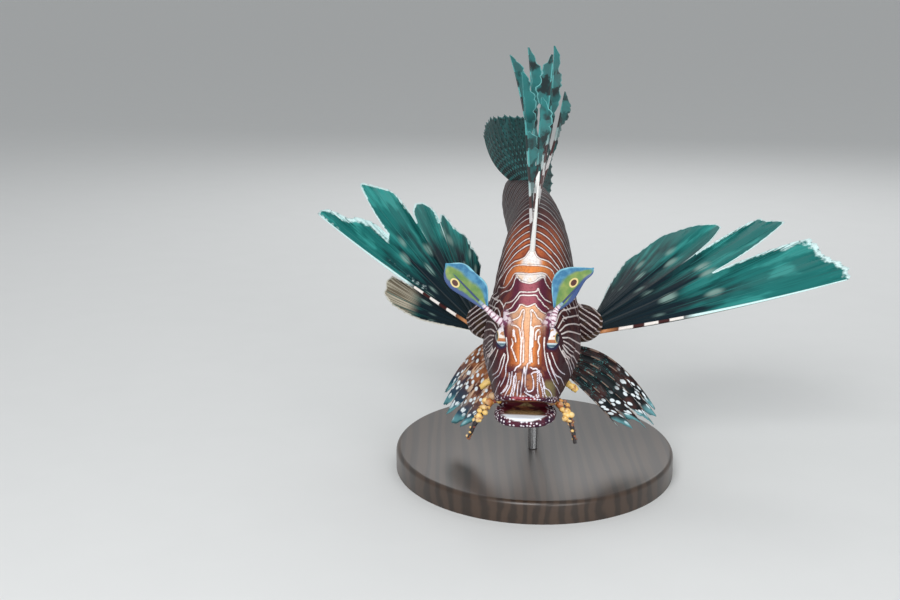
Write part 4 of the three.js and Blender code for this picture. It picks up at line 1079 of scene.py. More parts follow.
class LIONFISH_OT_skin(bpy.types.Operator):
    """Build the one skin of head, jaw, body and fin bases, with its painted lines"""

    bl_idname = "lionfish.skin"
    bl_label = "Skin"

    def execute(self, context):
        skin = build_skin()
        relief(skin)
        mark(skin)
        nodes = ["head", "lower_jaw", "torso", "tail"]
        nodes += [f"{part}_{word}" for part in ("gill_cover", "pectoral_base") for word in SIDES]
        settle(skin, skin_finish(), "skin", *nodes)
        return {"FINISHED"}


# Eyes


def eye_finish():
    finish = Finish("eye", Roughness=0.12, Coat_Weight=1.0, Coat_Roughness=0.03)
    out = finish.value("out")
    level = finish.value("height")
    iris = finish.mix(
        finish.between(finish.noise(420, 2), 0.50, 0.60), (0.90, 0.84, 0.88), (0.50, 0.22, 0.10)
    )
    iris = finish.mix(finish.between(level, 0.9, 0.3), iris, (0.88, 0.78, 0.70))
    iris = finish.mix(finish.between(level, -0.5, -1.0), iris, (0.50, 0.15, 0.035))
    iris = finish.mix(finish.between(level, -2.3, -2.7), iris, (0.70, 0.84, 0.90))
    iris = finish.mix(finish.between(level, -3.1, -3.5), iris, (0.10, 0.20, 0.26))
    iris = finish.mix(finish.between(level, -4.3, -4.8), iris, (0.60, 0.76, 0.82))
    ring = finish.mix(finish.between(out, 0.42, 0.46), (0.66, 0.44, 0.12), iris)
    finish.to("Base Color", finish.mix(finish.between(out, 0.36, 0.39), (0.004, 0.004, 0.006), ring))
    return finish.material


class LIONFISH_OT_eyes(bpy.types.Operator):
    """Build the two banded eyes with their clear, slightly domed corneas"""

    bl_idname = "lionfish.eyes"
    bl_label = "Eyes"

    def execute(self, context):
        material = eye_finish()
        for word, side in SIDES.items():
            eye = ball(f"eye_{word}_dressed", np.zeros(3), np.full(3, EYE_RADIUS), 64, 48)
            gaze = mirrored(EYE_GAZE, side)
            p = places(eye)
            out = np.arccos(np.clip(p[:, 2] / EYE_RADIUS, -1, 1))
            p = p * (1 + 0.035 * np.exp(-((out / 0.5) ** 2)))[:, None]
            p = p @ np.array(Vector((0, 0, 1)).rotation_difference(Vector(gaze)).to_matrix()).T
            record(eye, out=out, height=p @ UP_SEEN)
            put(eye, p + mirrored(EYE_CENTRE, side))
            settle(eye, material, "eye", f"eye_{word}")
        return {"FINISHED"}


# Fins


def ray_point(ray, f):
    base, along, curl = ray
    f = np.asarray(f)[..., None]
    return base + along * f + curl * f * f


def panel(name, rays, i, look, random):
    """The membrane between two rays. Past the web a cut one is only a vane on its first ray."""
    piece, t, f = sheet(name, look["across"], look["along"])
    cut = look["cut"](i)
    web = look["web"]
    free = np.clip((f - web) / (1 - web), 0, 1)
    ease = free**0.8
    share = t * (1 - ease * (1 - look["vane"])) if cut else t
    ends = np.cumsum([next(random) - 0.5 for _ in range(look["across"] + 1)])
    ragged = look["ragged"] * np.interp(t, np.linspace(0, 1, look["across"] + 1), ends - ends[0])
    bow = look["end"] * np.sin(math.pi * np.clip(t * (0.9 if cut else 1.0), 0, 1))
    bow = bow - (look["slope"] * t**1.5 if cut else 0)
    reach = f * (1 + (ragged + bow) * f**3)
    first, second = ray_point(rays[i], reach), ray_point(rays[i + 1], reach)
    where = first + (second - first) * share[:, None]
    across = second - first
    wide = np.linalg.norm(across, axis=1)
    facing = np.cross(across, rays[i][1])
    facing /= np.linalg.norm(facing, axis=1)[:, None]
    sag = look["sag"] * np.minimum(wide, 14) * np.sin(math.pi * t) * np.sqrt(np.clip(f * 3, 0, 1))
    phase = 6.28 * next(random)
    loose = (t if cut else 0) * free + f**5
    frill = look["frill"] * loose * np.sin(f * look["waves"] + phase + 3 * t)
    put(piece, where + facing * (sag + frill)[:, None])
    edge = np.where(cut, np.minimum((1 - t) + 3 * (1 - free) * (f < web), 1 - f), 1 - f)
    record(piece, out=f, across=i + t, edge=np.clip(edge, 0, 1), ray=0.0)
    return piece


def fin(name, rays, look, seed):
    """A fin of membrane panels between tapering rays, made one piece."""
    random = seeded(seed)
    panels = [panel("panel", rays, i, look, random) for i in range(len(rays) - 1)]
    web = joined(panels, "web")
    sew(web, fill=False)
    shaped(web, "SOLIDIFY", thickness=look["thick"], offset=0.0)
    pieces = [web]
    for i, ray in enumerate(rays):
        length = np.linalg.norm(ray[1])
        radius = look["ray"] * (1.25 if look["lead"](i) else 1.0)
        path = ray_point(ray, np.linspace(0, 0.985, 9))
        shaft = tube(
            "ray", path, lambda f: radius * (1 - 0.78 * f), 8, max(12, int(length / 3)), look["flat"]
        )
        record(shaft, across=i, edge=1.0, ray=1.0)
        pieces.append(shaft)
    return joined(pieces, name)


PECTORAL_ROOT = np.array([33, 78, -13])
PECTORAL_ROOT_SPREAD = 11
PECTORAL_CURL = 0.06
# The outline of each pectoral fan, as rays from its root: rise, lean away, and length.
# It drops between the lobes.
PECTORAL_FANS = {
    "left": [
        [16, 62, 50], [14, 44, 68], [12, 22, 100],
        [13.7, 0, 139], [14.4, 1, 141], [16.6, 3, 141], [18.6, 5, 136], [20.7, 8, 133], [23, 10, 134], [
            24.7, 12, 132
        ],
        [25.1, 13, 127], [25.3, 13, 120], [25.5, 13, 113], [25.7, 13, 104], [25.9, 13, 92], [26.1, 13, 73],
        [26.9, 14, 89], [28.3, 15, 107], [30, 17, 126], [31, 19, 127], [32.3, 21, 123], [34.2, 25, 123],
        [34.7, 25, 116], [34.9, 25, 106], [35.1, 25, 94], [35.3, 25, 75],
        [36.2, 27, 89], [38, 33, 107], [39.8, 36, 110], [42.2, 37, 106], [44.7, 39, 103], [48, 43, 97],
        [52, 49, 96], [55.3, 53, 87], [58.1, 56, 78], [62.9, 62, 76], [65, 65, 59], [67, 68, 44],
    ],
    "right": [
        [8, 37, 44], [11, 39, 61], [13, 40, 73], [
            16.8, 40, 82
        ], [22.3, 40, 84], [27.3, 40, 82], [28.4, 36, 59], [29.8, 32, 44],
        [31.7, 29, 141], [32.8, 29, 142], [34.2, 30, 139], [35, 30, 132], [35.8, 30, 121], [38.5, 31, 115],
        [40, 31, 108], [40.6, 31, 100], [41, 31, 88],
        [42.7, 31, 106], [44.4, 30, 119], [45.4, 30, 129], [46.4, 30, 130], [48.3, 31, 124],
        [51.1, 33, 119], [52.4, 35, 114], [52.8, 35, 105], [53, 35, 97], [53.3, 34, 82],
        [54.3, 36, 94], [56.2, 38, 101], [58.8, 41, 104], [61.1, 42, 100], [62.3, 43, 95], [62.8, 43, 84],
        [64, 44, 91], [65.1, 46, 93], [66.4, 47, 89], [68.6, 49, 82], [71.5, 51, 79], [75.2, 54, 77],
        [77.3, 55, 68], [81.1, 57, 63], [85.9, 62, 53],
    ],
}
# The stiff leading edge of each lobe, from the notch before it to its tip, as places in the outline above
LEADING_EDGES = {"left": [(3, 3), (15, 18), (25, 28)], "right": [(8, 8), (16, 19), (26, 29), (32, 34)]}
# Where the beige lobe under the leading ray ends in the outline
LOW_LOBE_ENDS = {"left": 2.5, "right": 7.5}
# How wide the pale frill is at each place of the outline, in millimetres
FRILLS = {
    "left": [
        [0, 1], [3, 0.7], [4.5, 3.4], [8.5, 4.2], [10, 1.8], [14, 0.9], [18, 0.8], [20, 1.3], [24, 0.9],
        [28, 0.8], [41, 1],
    ],
    "right": [
        [0, 1.1], [7, 1.1], [8, 1], [9, 1.6], [11, 3.6], [14, 4], [16, 1.2], [19, 0.9], [21, 2], [23, 1.4],
        [25, 0.8], [27, 1.3], [31, 1.5], [33, 1], [35, 1.6], [41, 1],
    ],
}


PELVIC_ROOT = np.array([9, 69, -27])
PELVIC_FANS = {
    "left": {"along": [[60, 24, 8], [37, -29, 2]], "curl": [[-2, -54, 4], [0, -6, 4]]},
    "right": {"along": [[38, 34, 10], [24, -34, 8]], "curl": [[4, -60, 6], [0, -5, 4]]},
}
PELVIC_RAYS = 6


def pectoral_surface(word, side, index, share):
    """Points of a pectoral fan, at places along its outline and shares of the way out from its root."""
    fan = np.array(PECTORAL_FANS[word], float)
    rise, away, length = (np.interp(index, np.arange(len(fan)), fan[:, k]) for k in range(3))
    rise, away = np.radians(rise), np.radians(away)
    foot = mirrored(PECTORAL_ROOT, side) + UP_SEEN * (
        PECTORAL_ROOT_SPREAD * (index / (len(fan) - 1) - 0.5)
    )[:, None]
    way = (side * np.cos(away) * np.cos(rise))[:, None] * X
    way = way + (np.cos(away) * np.sin(rise))[:, None] * UP_SEEN + np.sin(away)[:, None] * AWAY_SEEN
    curl = (PECTORAL_CURL * length)[:, None] * UP_SEEN
    return foot + (way * length[:, None] - curl) * share[:, None] + curl * (share**2)[:, None]


def fan_rise(word, index):
    """The rise of a fan's rays at places along its outline."""
    fan = np.array(PECTORAL_FANS[word], float)
    return np.interp(index, np.arange(len(fan)), fan[:, 0])


def fan_fold(rise, share):
    """How far the broad folds of a fan lift it."""
    return 2.2 * np.sin(rise * 0.42 + 1) * share**2


def fan_facing(side):
    return -AWAY_SEEN + 0.25 * side * X


def outline_places(word, side, step):
    """Places along the outline of a pectoral fan, about evenly spaced."""
    count = len(PECTORAL_FANS[word])
    ends = pectoral_surface(word, side, np.arange(count, dtype=float), np.ones(count))
    gaps = np.linalg.norm(np.diff(ends, axis=0), axis=1)
    bits = [np.linspace(i, i + 1, max(2, round(gap / step)), endpoint=False) for i, gap in enumerate(gaps)]
    return np.r_[np.concatenate(bits), count - 1]


def pectoral_web(word, side, seed):
    """The membrane of a pectoral fan, one sheet cut into lobes by its outline, with ruffled ends."""
    random = seeded(seed)
    at = outline_places(word, side, 1.3)
    columns, rows = len(at) - 1, 56
    piece, u, v = sheet("web", columns, rows)
    column = np.rint(u * columns).astype(int)
    index = at[column]
    share = v**0.85
    flat = pectoral_surface(word, side, index, share)
    ends = pectoral_surface(word, side, at, np.ones(len(at)))
    run = np.r_[0, np.cumsum(np.linalg.norm(np.diff(ends, axis=0), axis=1))][column]
    stiff = np.zeros(len(at))
    for notch, tip in LEADING_EDGES[word]:
        stiff = np.maximum(
            stiff, np.exp(-((np.maximum(0, np.maximum(notch - 0.5 - at, at - tip)) / 0.7) ** 2))
        )
    loose = (1 - stiff)[column] * smooth_step(0.45, 1.0, share)
    ragged = np.array([next(random) for _ in at])
    ragged = np.convolve(ragged, [0.25, 0.5, 0.25], "same")[column]
    where = pectoral_surface(word, side, index, share * (1 - 0.022 * ragged * loose))
    along = np.linspace(0, 1, 60)
    sides = [pectoral_surface(word, side, np.full(60, place), along) for place in (at[0], at[-1])]
    edge = distance_to([ends, *sides], flat, 20)
    width = np.interp(index, *np.array(FRILLS[word]).T)
    across = fan_rise(word, index)
    waves = np.sin(run * 0.95) + 0.5 * np.sin(run * 1.83 + 1)
    ruffle = (0.55 + 0.35 * width) * loose * np.exp(-edge / (2.2 + 1.2 * width)) * waves
    pleat = 0.12 * np.sin(across * 1.5) * np.sin(math.pi * share)
    pleat = pleat + fan_fold(across, share) * smooth_step(0, 10, edge)
    put(piece, where + fan_facing(side) * (ruffle + pleat * (1 - 0.7 * stiff[column]))[:, None])
    reach = np.linalg.norm(flat - mirrored(PECTORAL_ROOT, side), axis=1)
    record(piece, out=share, reach=reach / 100, across=across, rim=edge / width, ray=0.0, lead=0.0)
    record(piece, low=1.0 * (index < LOW_LOBE_ENDS[word]))
    shaped(piece, "SOLIDIFY", thickness=0.32, offset=0.0)
    return piece


def pectoral_ray(word, side, path_index, path_share, radius, lead):
    path = pectoral_surface(word, side, path_index, path_share)
    lift = fan_fold(fan_rise(word, path_index), path_share) * (1 - 0.95 * lead)
    path = path + fan_facing(side) * lift[:, None]
    length = np.linalg.norm(path[-1] - path[0])
    piece = tube("ray", path, lambda f: radius * (1 - 0.72 * f), 8, max(16, int(length / 2.5)))
    reach = np.linalg.norm(places(piece) - mirrored(PECTORAL_ROOT, side), axis=1)
    record(piece, reach=reach / 100, across=0.0, rim=9.0, ray=1.0, lead=lead, low=0.0)
    return piece


def pectoral_fin(word, side):
    pieces = [pectoral_web(word, side, 5 if side > 0 else 17)]
    for number, (notch, tip) in enumerate(LEADING_EDGES[word]):
        if tip > notch:
            index = np.r_[np.full(8, float(notch)), np.linspace(notch, tip, 7)[1:]]
            share = np.r_[np.linspace(0.02, 0.985, 8), np.full(6, 0.99)]
        else:
            index, share = np.full(8, float(tip)), np.linspace(0.02, 0.99, 8)
        radius, lead = (0.5, 0.5) if number else (1.05, 1.0)
        pieces.append(pectoral_ray(word, side, index, share, radius, lead))
    for place in RAY_PLACES[word]:
        pieces.append(pectoral_ray(word, side, np.full(9, place), np.linspace(0.02, 0.96, 9), 0.42, 0.0))
    return joined(pieces, f"pectoral_{word}")


def pelvic_rays(word, side):
    fan = PELVIC_FANS[word]
    rays = []
    for i in range(PELVIC_RAYS):
        f = i / (PELVIC_RAYS - 1)
        mixed = []
        for first, last in (fan["along"], fan["curl"]):
            across, up, away = (1 - f) * np.array(first, float) + f * np.array(last, float)
            mixed.append(
                (side * across * X + up * UP_SEEN + away * AWAY_SEEN) * (1 + 0.16 * math.sin(math.pi * f))
            )
        rays.append((mirrored(PELVIC_ROOT, side) + [side * 1.5 * f, 2 - 9 * f, 0], *mixed))
    return rays


# Soft rays of the pectoral fans, as places in their outlines
RAY_PLACES = {
    "left": [1, 2, 5.2, 6.6, 8, 9.3, 18.6, 20, 21.2, 29, 30.4, 31.6, 32.6, 33.6, 34.6, 36],
    "right": [
        1, 2.2, 3.4, 4.6, 9.4, 10.6, 13, 14, 19.6, 20.8, 21.8, 22.6, 28.4, 29.4, 30.4, 34.4, 35.6, 36.8, 38,
        39.4,
    ],
}
PELVIC_LOOK = {
    "cut": lambda i: True, "lead": lambda i: i == 0, "across": 8, "along": 36, "web": 0.78, "vane": 0.8,
    "ragged": 0.02, "end": 0.0, "slope": 0.10, "sag": 0.14, "frill": 0.8, "waves": 22,
    "thick": 0.35, "ray": 0.85, "flat": 0.8,
}
REAR_LOOK = {
    "cut": lambda i: False, "lead": lambda i: False, "across": 8, "along": 26, "web": 0.84, "vane": 0.9,
    "ragged": 0.012, "end": -0.03, "slope": 0.0, "sag": 0.05, "frill": 0.4, "waves": 14,
    "thick": 0.3, "ray": 0.6, "flat": 0.8,
}


def fin_finish():
    """Blue-black root and teal farther out, painted light of the greenish light through the membranes, weak
    near the root; painted glowing patches, soft pale blotches, a pale frill and banded leading rays.
    """
    look = settings("fin_settings")
    finish = Finish("pectoral_membrane", Roughness=0.55, Coat_Weight=0.03, Coat_Roughness=0.3)
    finish.shader.inputs["Specular IOR Level"].default_value = 0.12
    reach, across, rim, low = finish.value("reach"), finish.value(
        "across"
    ), finish.value("rim"), finish.value("low")
    long_streak = finish.streaks(finish.times(across, 0.33), finish.times(reach, 3.0))
    fine_streak = finish.streaks(finish.times(across, 2.2), finish.times(reach, 2.0))
    far = finish.plus(reach, finish.centred(long_streak, 0.9))
    # Painted light: near black at the root turning teal outward, the greenish light through the membrane
    colour = finish.mix(finish.between(far, 0.42, 0.85), look.deep, look.teal)
    # Painted light: brighter teal patches, glowing where light shines through the membrane
    glow = finish.times(finish.between(long_streak, 0.50, 0.68), finish.between(reach, 0.5, 0.95))
    colour = finish.mix(finish.times(glow, 0.7), colour, (0.05, 0.36, 0.33))
    colour = finish.mix(finish.between(fine_streak, 0.50, 0.75, 0.0, 0.28), colour, (0.003, 0.035, 0.04))
    blotch = finish.dots(finish.times(across, 0.14), finish.times(reach, 3.4), 0.9)
    blotch = finish.times(
        finish.between(blotch, 0.06, 0.26, 0.75, 0.0),
        finish.times(finish.between(reach, 0.85, 0.7), finish.between(reach, 0.3, 0.4)),
    )
    colour = finish.mix(blotch, colour, (0.26, 0.40, 0.36))
    beige = finish.mix(finish.between(fine_streak, 0.4, 0.6), (0.52, 0.48, 0.38), (0.16, 0.13, 0.09))
    colour = finish.mix(finish.times(low, finish.between(reach, 0.46, 0.60)), colour, beige)
    ruffled = finish.plus(rim, finish.centred(finish.noise(330, 3), 1.5))
    rim_colour = finish.mix(low, look.rim, (0.80, 0.78, 0.70))
    colour = finish.mix(finish.between(ruffled, 0.5, 1.1, 0.95, 0.0), colour, rim_colour)
    bands = finish.wave(reach, 46.0)
    near = finish.mix(finish.between(bands, -0.35, 0.0), (0.05, 0.012, 0.012), (0.88, 0.82, 0.78))
    near = finish.mix(finish.between(reach, 0.16, 0.05), near, (0.62, 0.26, 0.10))
    bright = finish.mix(finish.between(reach, 0.46, 0.56), near, (0.66, 0.90, 0.90))
    inner = finish.mix(finish.between(reach, 0.62, 0.80), (0.03, 0.04, 0.045), (0.66, 0.90, 0.90))
    # Painted light: the plain rays also go from near black to teal outward
    plain = finish.mix(finish.between(reach, 0.3, 0.8), (0.006, 0.014, 0.018), (0.03, 0.20, 0.19))
    lead = finish.value("lead")
    shaft = finish.mix(finish.between(lead, 0.2, 0.4), plain, inner)
    shaft = finish.mix(finish.between(lead, 0.6, 0.9), shaft, bright)
    finish.to("Base Color", finish.mix("ray", colour, shaft))
    finish.bump(finish.plus(fine_streak, finish.times(finish.noise(700, 2), 0.4)), 0.00015, 0.4)
    return finish.material


def pelvic_finish(word):
    """Lit and shaded copies of one fin: orange-brown with cream streaks on the right, nearly black as painted
    shade on the left, with white spots far out and blue tips.
    """
    look = settings("fin_settings")
    finish = Finish(f"pelvic_membrane_{word}", Roughness=0.55, Coat_Weight=0.05, Coat_Roughness=0.3)
    finish.shader.inputs["Specular IOR Level"].default_value = 0.18
    out, across = finish.value("out"), finish.value("across")
    cloud = finish.noise(120, 3)
    streak = finish.streaks(finish.times(across, 2.4), finish.times(out, 4.5))
    if word == "right":
        colour = finish.mix(finish.between(cloud, 0.36, 0.56), (0.07, 0.02, 0.018), look.pelvic)
        colour = finish.mix(finish.between(streak, 0.52, 0.62), colour, (0.80, 0.54, 0.36))
        colour = finish.mix(finish.between(out, 0.62, 0.92), colour, (0.02, 0.06, 0.10))
        starts = 0.45
    else:
        # Painted shade: the left fin, on the fish's shaded side, is painted nearly black
        colour = finish.mix(finish.between(cloud, 0.45, 0.68), (0.004, 0.008, 0.010), (0.05, 0.018, 0.016))
        arcs = finish.times(
            finish.between(finish.math("ABSOLUTE", finish.math("SUBTRACT", streak, 0.5)), 0.012, 0.0),
            finish.between(out, 0.75, 0.5),
        )
        colour = finish.mix(finish.times(arcs, 0.8), colour, (0.10, 0.42, 0.42))
        starts = 0.6
    dots = finish.dots(finish.times(out, 13.0), finish.times(across, 1.7), 0.95)
    spots = finish.times(
        finish.between(dots, 0.20, 0.32, 1.0, 0.0), finish.between(out, starts, starts + 0.12)
    )
    colour = finish.mix(spots, colour, (0.78, 0.86, 0.90))
    tips = finish.between(finish.plus(out, finish.centred(cloud, 0.1)), 0.9, 0.98)
    colour = finish.mix(finish.times(tips, 0.8), colour, (0.16, 0.42, 0.46))
    bands = finish.wave(out, 40.0)
    shaft = finish.mix(finish.between(bands, -0.2, 0.3), (0.05, 0.02, 0.02), (0.50, 0.36, 0.28))
    finish.to("Base Color", finish.mix(finish.times("ray", 0.45), colour, shaft))
    finish.bump(finish.noise(900, 2), 0.00012, 0.4)
    return finish.material


def rear_finish():
    """Dark, glassy membranes with rows of small dark and pale dots along the rays."""
    finish = Finish("spotted_membrane", Roughness=0.5, Coat_Weight=0.08, Coat_Roughness=0.25)
    finish.shader.inputs["Specular IOR Level"].default_value = 0.2
    out, across = finish.value("out"), finish.value("across")
    cloud = finish.noise(70, 3)
    colour = finish.mix(finish.between(out, 0.0, 0.7), (0.010, 0.016, 0.018), (0.010, 0.06, 0.06))
    colour = finish.mix(finish.between(cloud, 0.45, 0.65, 0.0, 0.6), colour, (0.02, 0.13, 0.13))
    dots = finish.dots(finish.times(out, 15.0), finish.times(across, 2.0), 0.7)
    colour = finish.mix(finish.between(dots, 0.16, 0.30, 0.8, 0.0), colour, (0.003, 0.006, 0.008))
    bands = finish.wave(finish.plus(out, finish.times(across, 0.37)), 70.0)
    shaft = finish.mix(finish.between(bands, 0.0, 0.7), (0.006, 0.02, 0.022), (0.04, 0.19, 0.19))
    colour = finish.mix("ray", colour, shaft)
    finish.to(
        "Base Color", finish.mix(finish.between("edge", 0.0, 0.03, 0.5, 0.0), colour, (0.12, 0.32, 0.32))
    )
    finish.bump(finish.wave(across, 50.0), 0.00006, 0.5)
    return finish.material


class LIONFISH_OT_side_fins(bpy.types.Operator):
    """Build the leafy pectoral fins and the spotted pelvic fins"""

    bl_idname = "lionfish.side_fins"
    bl_label = "Pectoral and pelvic fins"

    def execute(self, context):
        membrane = fin_finish()
        for word, side in SIDES.items():
            settle(pectoral_fin(word, side), membrane, "dark_fin", f"pectoral_fin_{word}", follows=False)
            piece = fin(f"pelvic_{word}", pelvic_rays(word, side), PELVIC_LOOK, 7 if side > 0 else 19)
            settle(piece, pelvic_finish(word), "brown_fin", f"pelvic_fin_{word}", follows=False)
        return {"FINISHED"}


REAR_FINS = {
    "soft_dorsal": {
        "count": 13, "foot": (145, 186), "back": True, "lean": (36, 72), "length": (42, 52, 54),
        "sideways": (4, -34),
    },
    "anal": {
        "count": 10, "foot": (145, 182), "back": False, "lean": (142, 108), "length": (22, 48, 36),
        "sideways": (0, 6),
    },
}
CAUDAL_RAYS = 14
CAUDAL_LENGTH = 61.7


def rear_rays(shape):
    rays = []
    for i in range(shape["count"]):
        f = i / (shape["count"] - 1)
        s = np.interp(f, [0, 1], shape["foot"])
        angle = math.radians(np.interp(f, [0, 1], shape["lean"]))
        reach = np.interp(f, [0, 0.5, 1], shape["length"])
        back, belly = profile(s)[0, :2]
        z = back - 2.5 if shape["back"] else belly + 2.5
        tilt = math.sin(math.radians(np.interp(f, [0, 1], shape["sideways"])))
        rays.append(
            (
                np.array([0, s, z]), unit([tilt, math.sin(angle), math.cos(angle)]) * reach,
                np.array([0, 2.0, 0]),
            )
        )
    return rays


def caudal_rays():
    back, belly = profile(BODY_LENGTH)[0, :2]
    middle = (back + belly) / 2
    rays = []
    for f in np.linspace(-1, 1, CAUDAL_RAYS):
        length = CAUDAL_LENGTH * (1 - 0.14 * abs(f) ** 2.5)
        angle = math.radians(29 * f)
        foot = np.array([0, BODY_LENGTH - 4, middle + f * 0.84 * (back - middle)])
        rays.append((foot, np.array([0, math.cos(angle), math.sin(angle)]) * length, np.zeros(3)))
    return rays


class LIONFISH_OT_rear_fins(bpy.types.Operator):
    """Build the soft dorsal, anal and tail fins, with dots along their rays"""

    bl_idname = "lionfish.rear_fins"
    bl_label = "Rear fins"

    def execute(self, context):
        material = rear_finish()
        for name, shape in REAR_FINS.items():
            settle(fin(name, rear_rays(shape), REAR_LOOK, 51), material, "dark_fin", f"{name}_fin")
        settle(fin("caudal", caudal_rays(), REAR_LOOK, 41), material, "dark_fin", "caudal_fin")
        return {"FINISHED"}


# Dorsal spines

SPINE_COUNT = 13
SPINE_STATIONS = (68, 136)
SPINE_LEAN = (2, 54)
SPINE_ROWS = [0, 0.3, 0.6, 0.8, 0.93, 1]
VANE_SHARE = [0, 0.14, 0.40, 1, 0.72, 0.12]
VANE_WIDTH = 9
VANE_TURN_DEG = 50
SPINE_SIDEWAYS = [5, -2, 3, -4.5, 6.2, -1.2, 9, -5, 13, 1, 24, 15, 26]
WEB_HEIGHT = 11
LONGEST_SPINE = 5


def spine_length(i):
    fall = (i - LONGEST_SPINE) / (7.1 if i < LONGEST_SPINE else 9.8)
    return DORSAL_SPINE_LENGTH * (1 - fall * fall)


def dorsal_spine(i):
    """One spine and the vane along its rear edge."""
    f = i / (SPINE_COUNT - 1)
    station = np.interp(f, [0, 1], SPINE_STATIONS)
    lean = math.radians(np.interp(f, [0, 1], SPINE_LEAN))
    sideways = math.radians(SPINE_SIDEWAYS[i])
    length = spine_length(i)
    sink = 4
    up = np.array(
        [math.sin(sideways), math.sin(lean) * math.cos(sideways), math.cos(lean) * math.cos(sideways)]
    )
    rear = np.array([0, math.cos(lean), -math.sin(lean)])
    foot = np.array([0, station, back_height(station) - sink])
    centre = lambda share: foot + up * ((length + sink) * share)[:, None] + rear * (5 * share**2)[:, None]
    thick = 1.6 if i == 0 else 1.15
    shaft = tube("spine", centre(np.linspace(0, 1, 8)), lambda g: thick * (1 - 0.9 * g) + 0.05, 10, 44)
    turn = math.radians(VANE_TURN_DEG if i % 4 else -VANE_TURN_DEG)
    trailing = rear * math.cos(turn) + np.cross(rear, up) * math.sin(turn)
    vane, t, g = sheet("vane", 8, 60)
    width = VANE_WIDTH * math.sqrt(length / DORSAL_SPINE_LENGTH) * np.interp(g, SPINE_ROWS, VANE_SHARE)
    phase = 6.28 * (i * 0.37 % 1)
    ragged = 0.9 + 0.10 * np.sin(g * 47 + phase) + 0.10 * np.sin(
        g * 97 + 2 * phase
    ) + 0.06 * np.sin(g * 173 + phase)
    wave = (np.sin(g * 15 + phase) * t * width * 0.18)[:, None] * np.cross(up, trailing)
    width = width * (0.3 if i == 0 else 1)
    put(vane, centre(g) + trailing * (width * ragged * t)[:, None] + wave)
    record(vane, out=g, trail=t)
    shaped(vane, "SOLIDIFY", thickness=0.34, offset=0.0)
    record(shaft, trail=0.0)
    for piece, is_ray in ((shaft, 1.0), (vane, 0.0)):
        record(piece, ray=is_ray, first=1.0 * (i == 0), number=float(i))
    return shaft, vane


class LIONFISH_OT_dorsal(bpy.types.Operator):
    """Build the thirteen banded dorsal spines with their vanes and the low web"""

    bl_idname = "lionfish.dorsal"
    bl_label = "Dorsal spines"

    def execute(self, context):
        pieces = []
        for i in range(SPINE_COUNT):
            pieces += dorsal_spine(i)
        web, t, f = sheet("web", 180, 8)
        first, last = SPINE_STATIONS
        s = first - 1 + (last - first + 2) * t
        scallop = 1 - 0.30 * np.abs(np.sin(math.pi * (t * (SPINE_COUNT - 1))))
        height = WEB_HEIGHT * scallop * np.minimum(1, 8 * t + 0.12) * np.minimum(1, 8 * (1 - t) + 0.1)
        crest = profile(s)[:, 0]
        side = 0.5 * np.sin(math.pi * t * (SPINE_COUNT - 1)) * f
        put(web, np.stack([side, s + 3 * f, crest - 2 + (height + 2) * f], 1))
        record(web, ray=0.0, first=0.0, number=-1.0, trail=0.0)
        shaped(web, "SOLIDIFY", thickness=0.5, offset=0.0)
        pieces.append(web)
        for piece in pieces:
            p = places(piece)
            record(piece, rise=p[:, 2] - profile(p[:, 1])[:, 0])
        settle(joined(pieces, "dorsal"), spine_finish(), "spine", "dorsal_spines")
        return {"FINISHED"}


def spine_finish():
    """Banded pale and dark near the back, fading to dark teal near the tips as painted shade where the front
    light falls off, leafy near the tips, with a first spine painted white as painted light.
    """
    finish = Finish("banded_spine", Roughness=0.35, Coat_Weight=0.3, Coat_Roughness=0.2)
    rise = finish.value("rise")
    wobble = finish.centred(finish.noise(260, 3), 9)
    shifted = finish.plus(finish.times(finish.plus(rise, wobble), 0.42), finish.times("number", 2.1))
    bands = finish.between(finish.math("SINE", shifted), 0.0, 0.35)
    # Painted shade: pale and dark bands both fade to dark teal as the spines rise away from the front light
    pale = finish.mix(finish.between(rise, 14, 44), (0.66, 0.64, 0.64), (0.07, 0.36, 0.36))
    dark = finish.mix(finish.between(rise, 14, 44), (0.08, 0.022, 0.022), (0.004, 0.016, 0.018))
    vane = finish.mix(
        finish.between(finish.noise(150, 3), 0.42, 0.62), (0.004, 0.018, 0.02), (0.010, 0.10, 0.10)
    )
    colour = finish.mix(bands, dark, pale)
    colour = finish.mix(
        finish.between("ray", 0.9, 0.1), colour, finish.mix(finish.times(bands, 0.35), vane, pale)
    )
    # Teal patches near the tips, part of the same painted shade
    leafy = finish.times(finish.between(rise, 46, 60), finish.between(finish.noise(75, 3), 0.40, 0.52))
    colour = finish.mix(finish.times(leafy, 0.85), colour, (0.014, 0.19, 0.19))
    colour = finish.mix(
        finish.times(finish.between("trail", 0.86, 0.97), finish.between(rise, 40, 60)), colour,
        (0.20, 0.60, 0.60),
    )
    web = finish.times(finish.between("number", -0.9, -0.1, 1.0, 0.0), 0.85)
    colour = finish.mix(web, colour, (0.16, 0.055, 0.035))
    # Painted light: the first spine, in front, is painted white as fully lit by the front light
    colour = finish.mix("first", colour, (0.80, 0.80, 0.78))
    finish.to("Base Color", colour)
    finish.bump(finish.noise(1200, 2), 0.0001, 0.4)
    return finish.material


# Leaves over the eyes, lumpy tentacles at the mouth and knobs on the cheeks

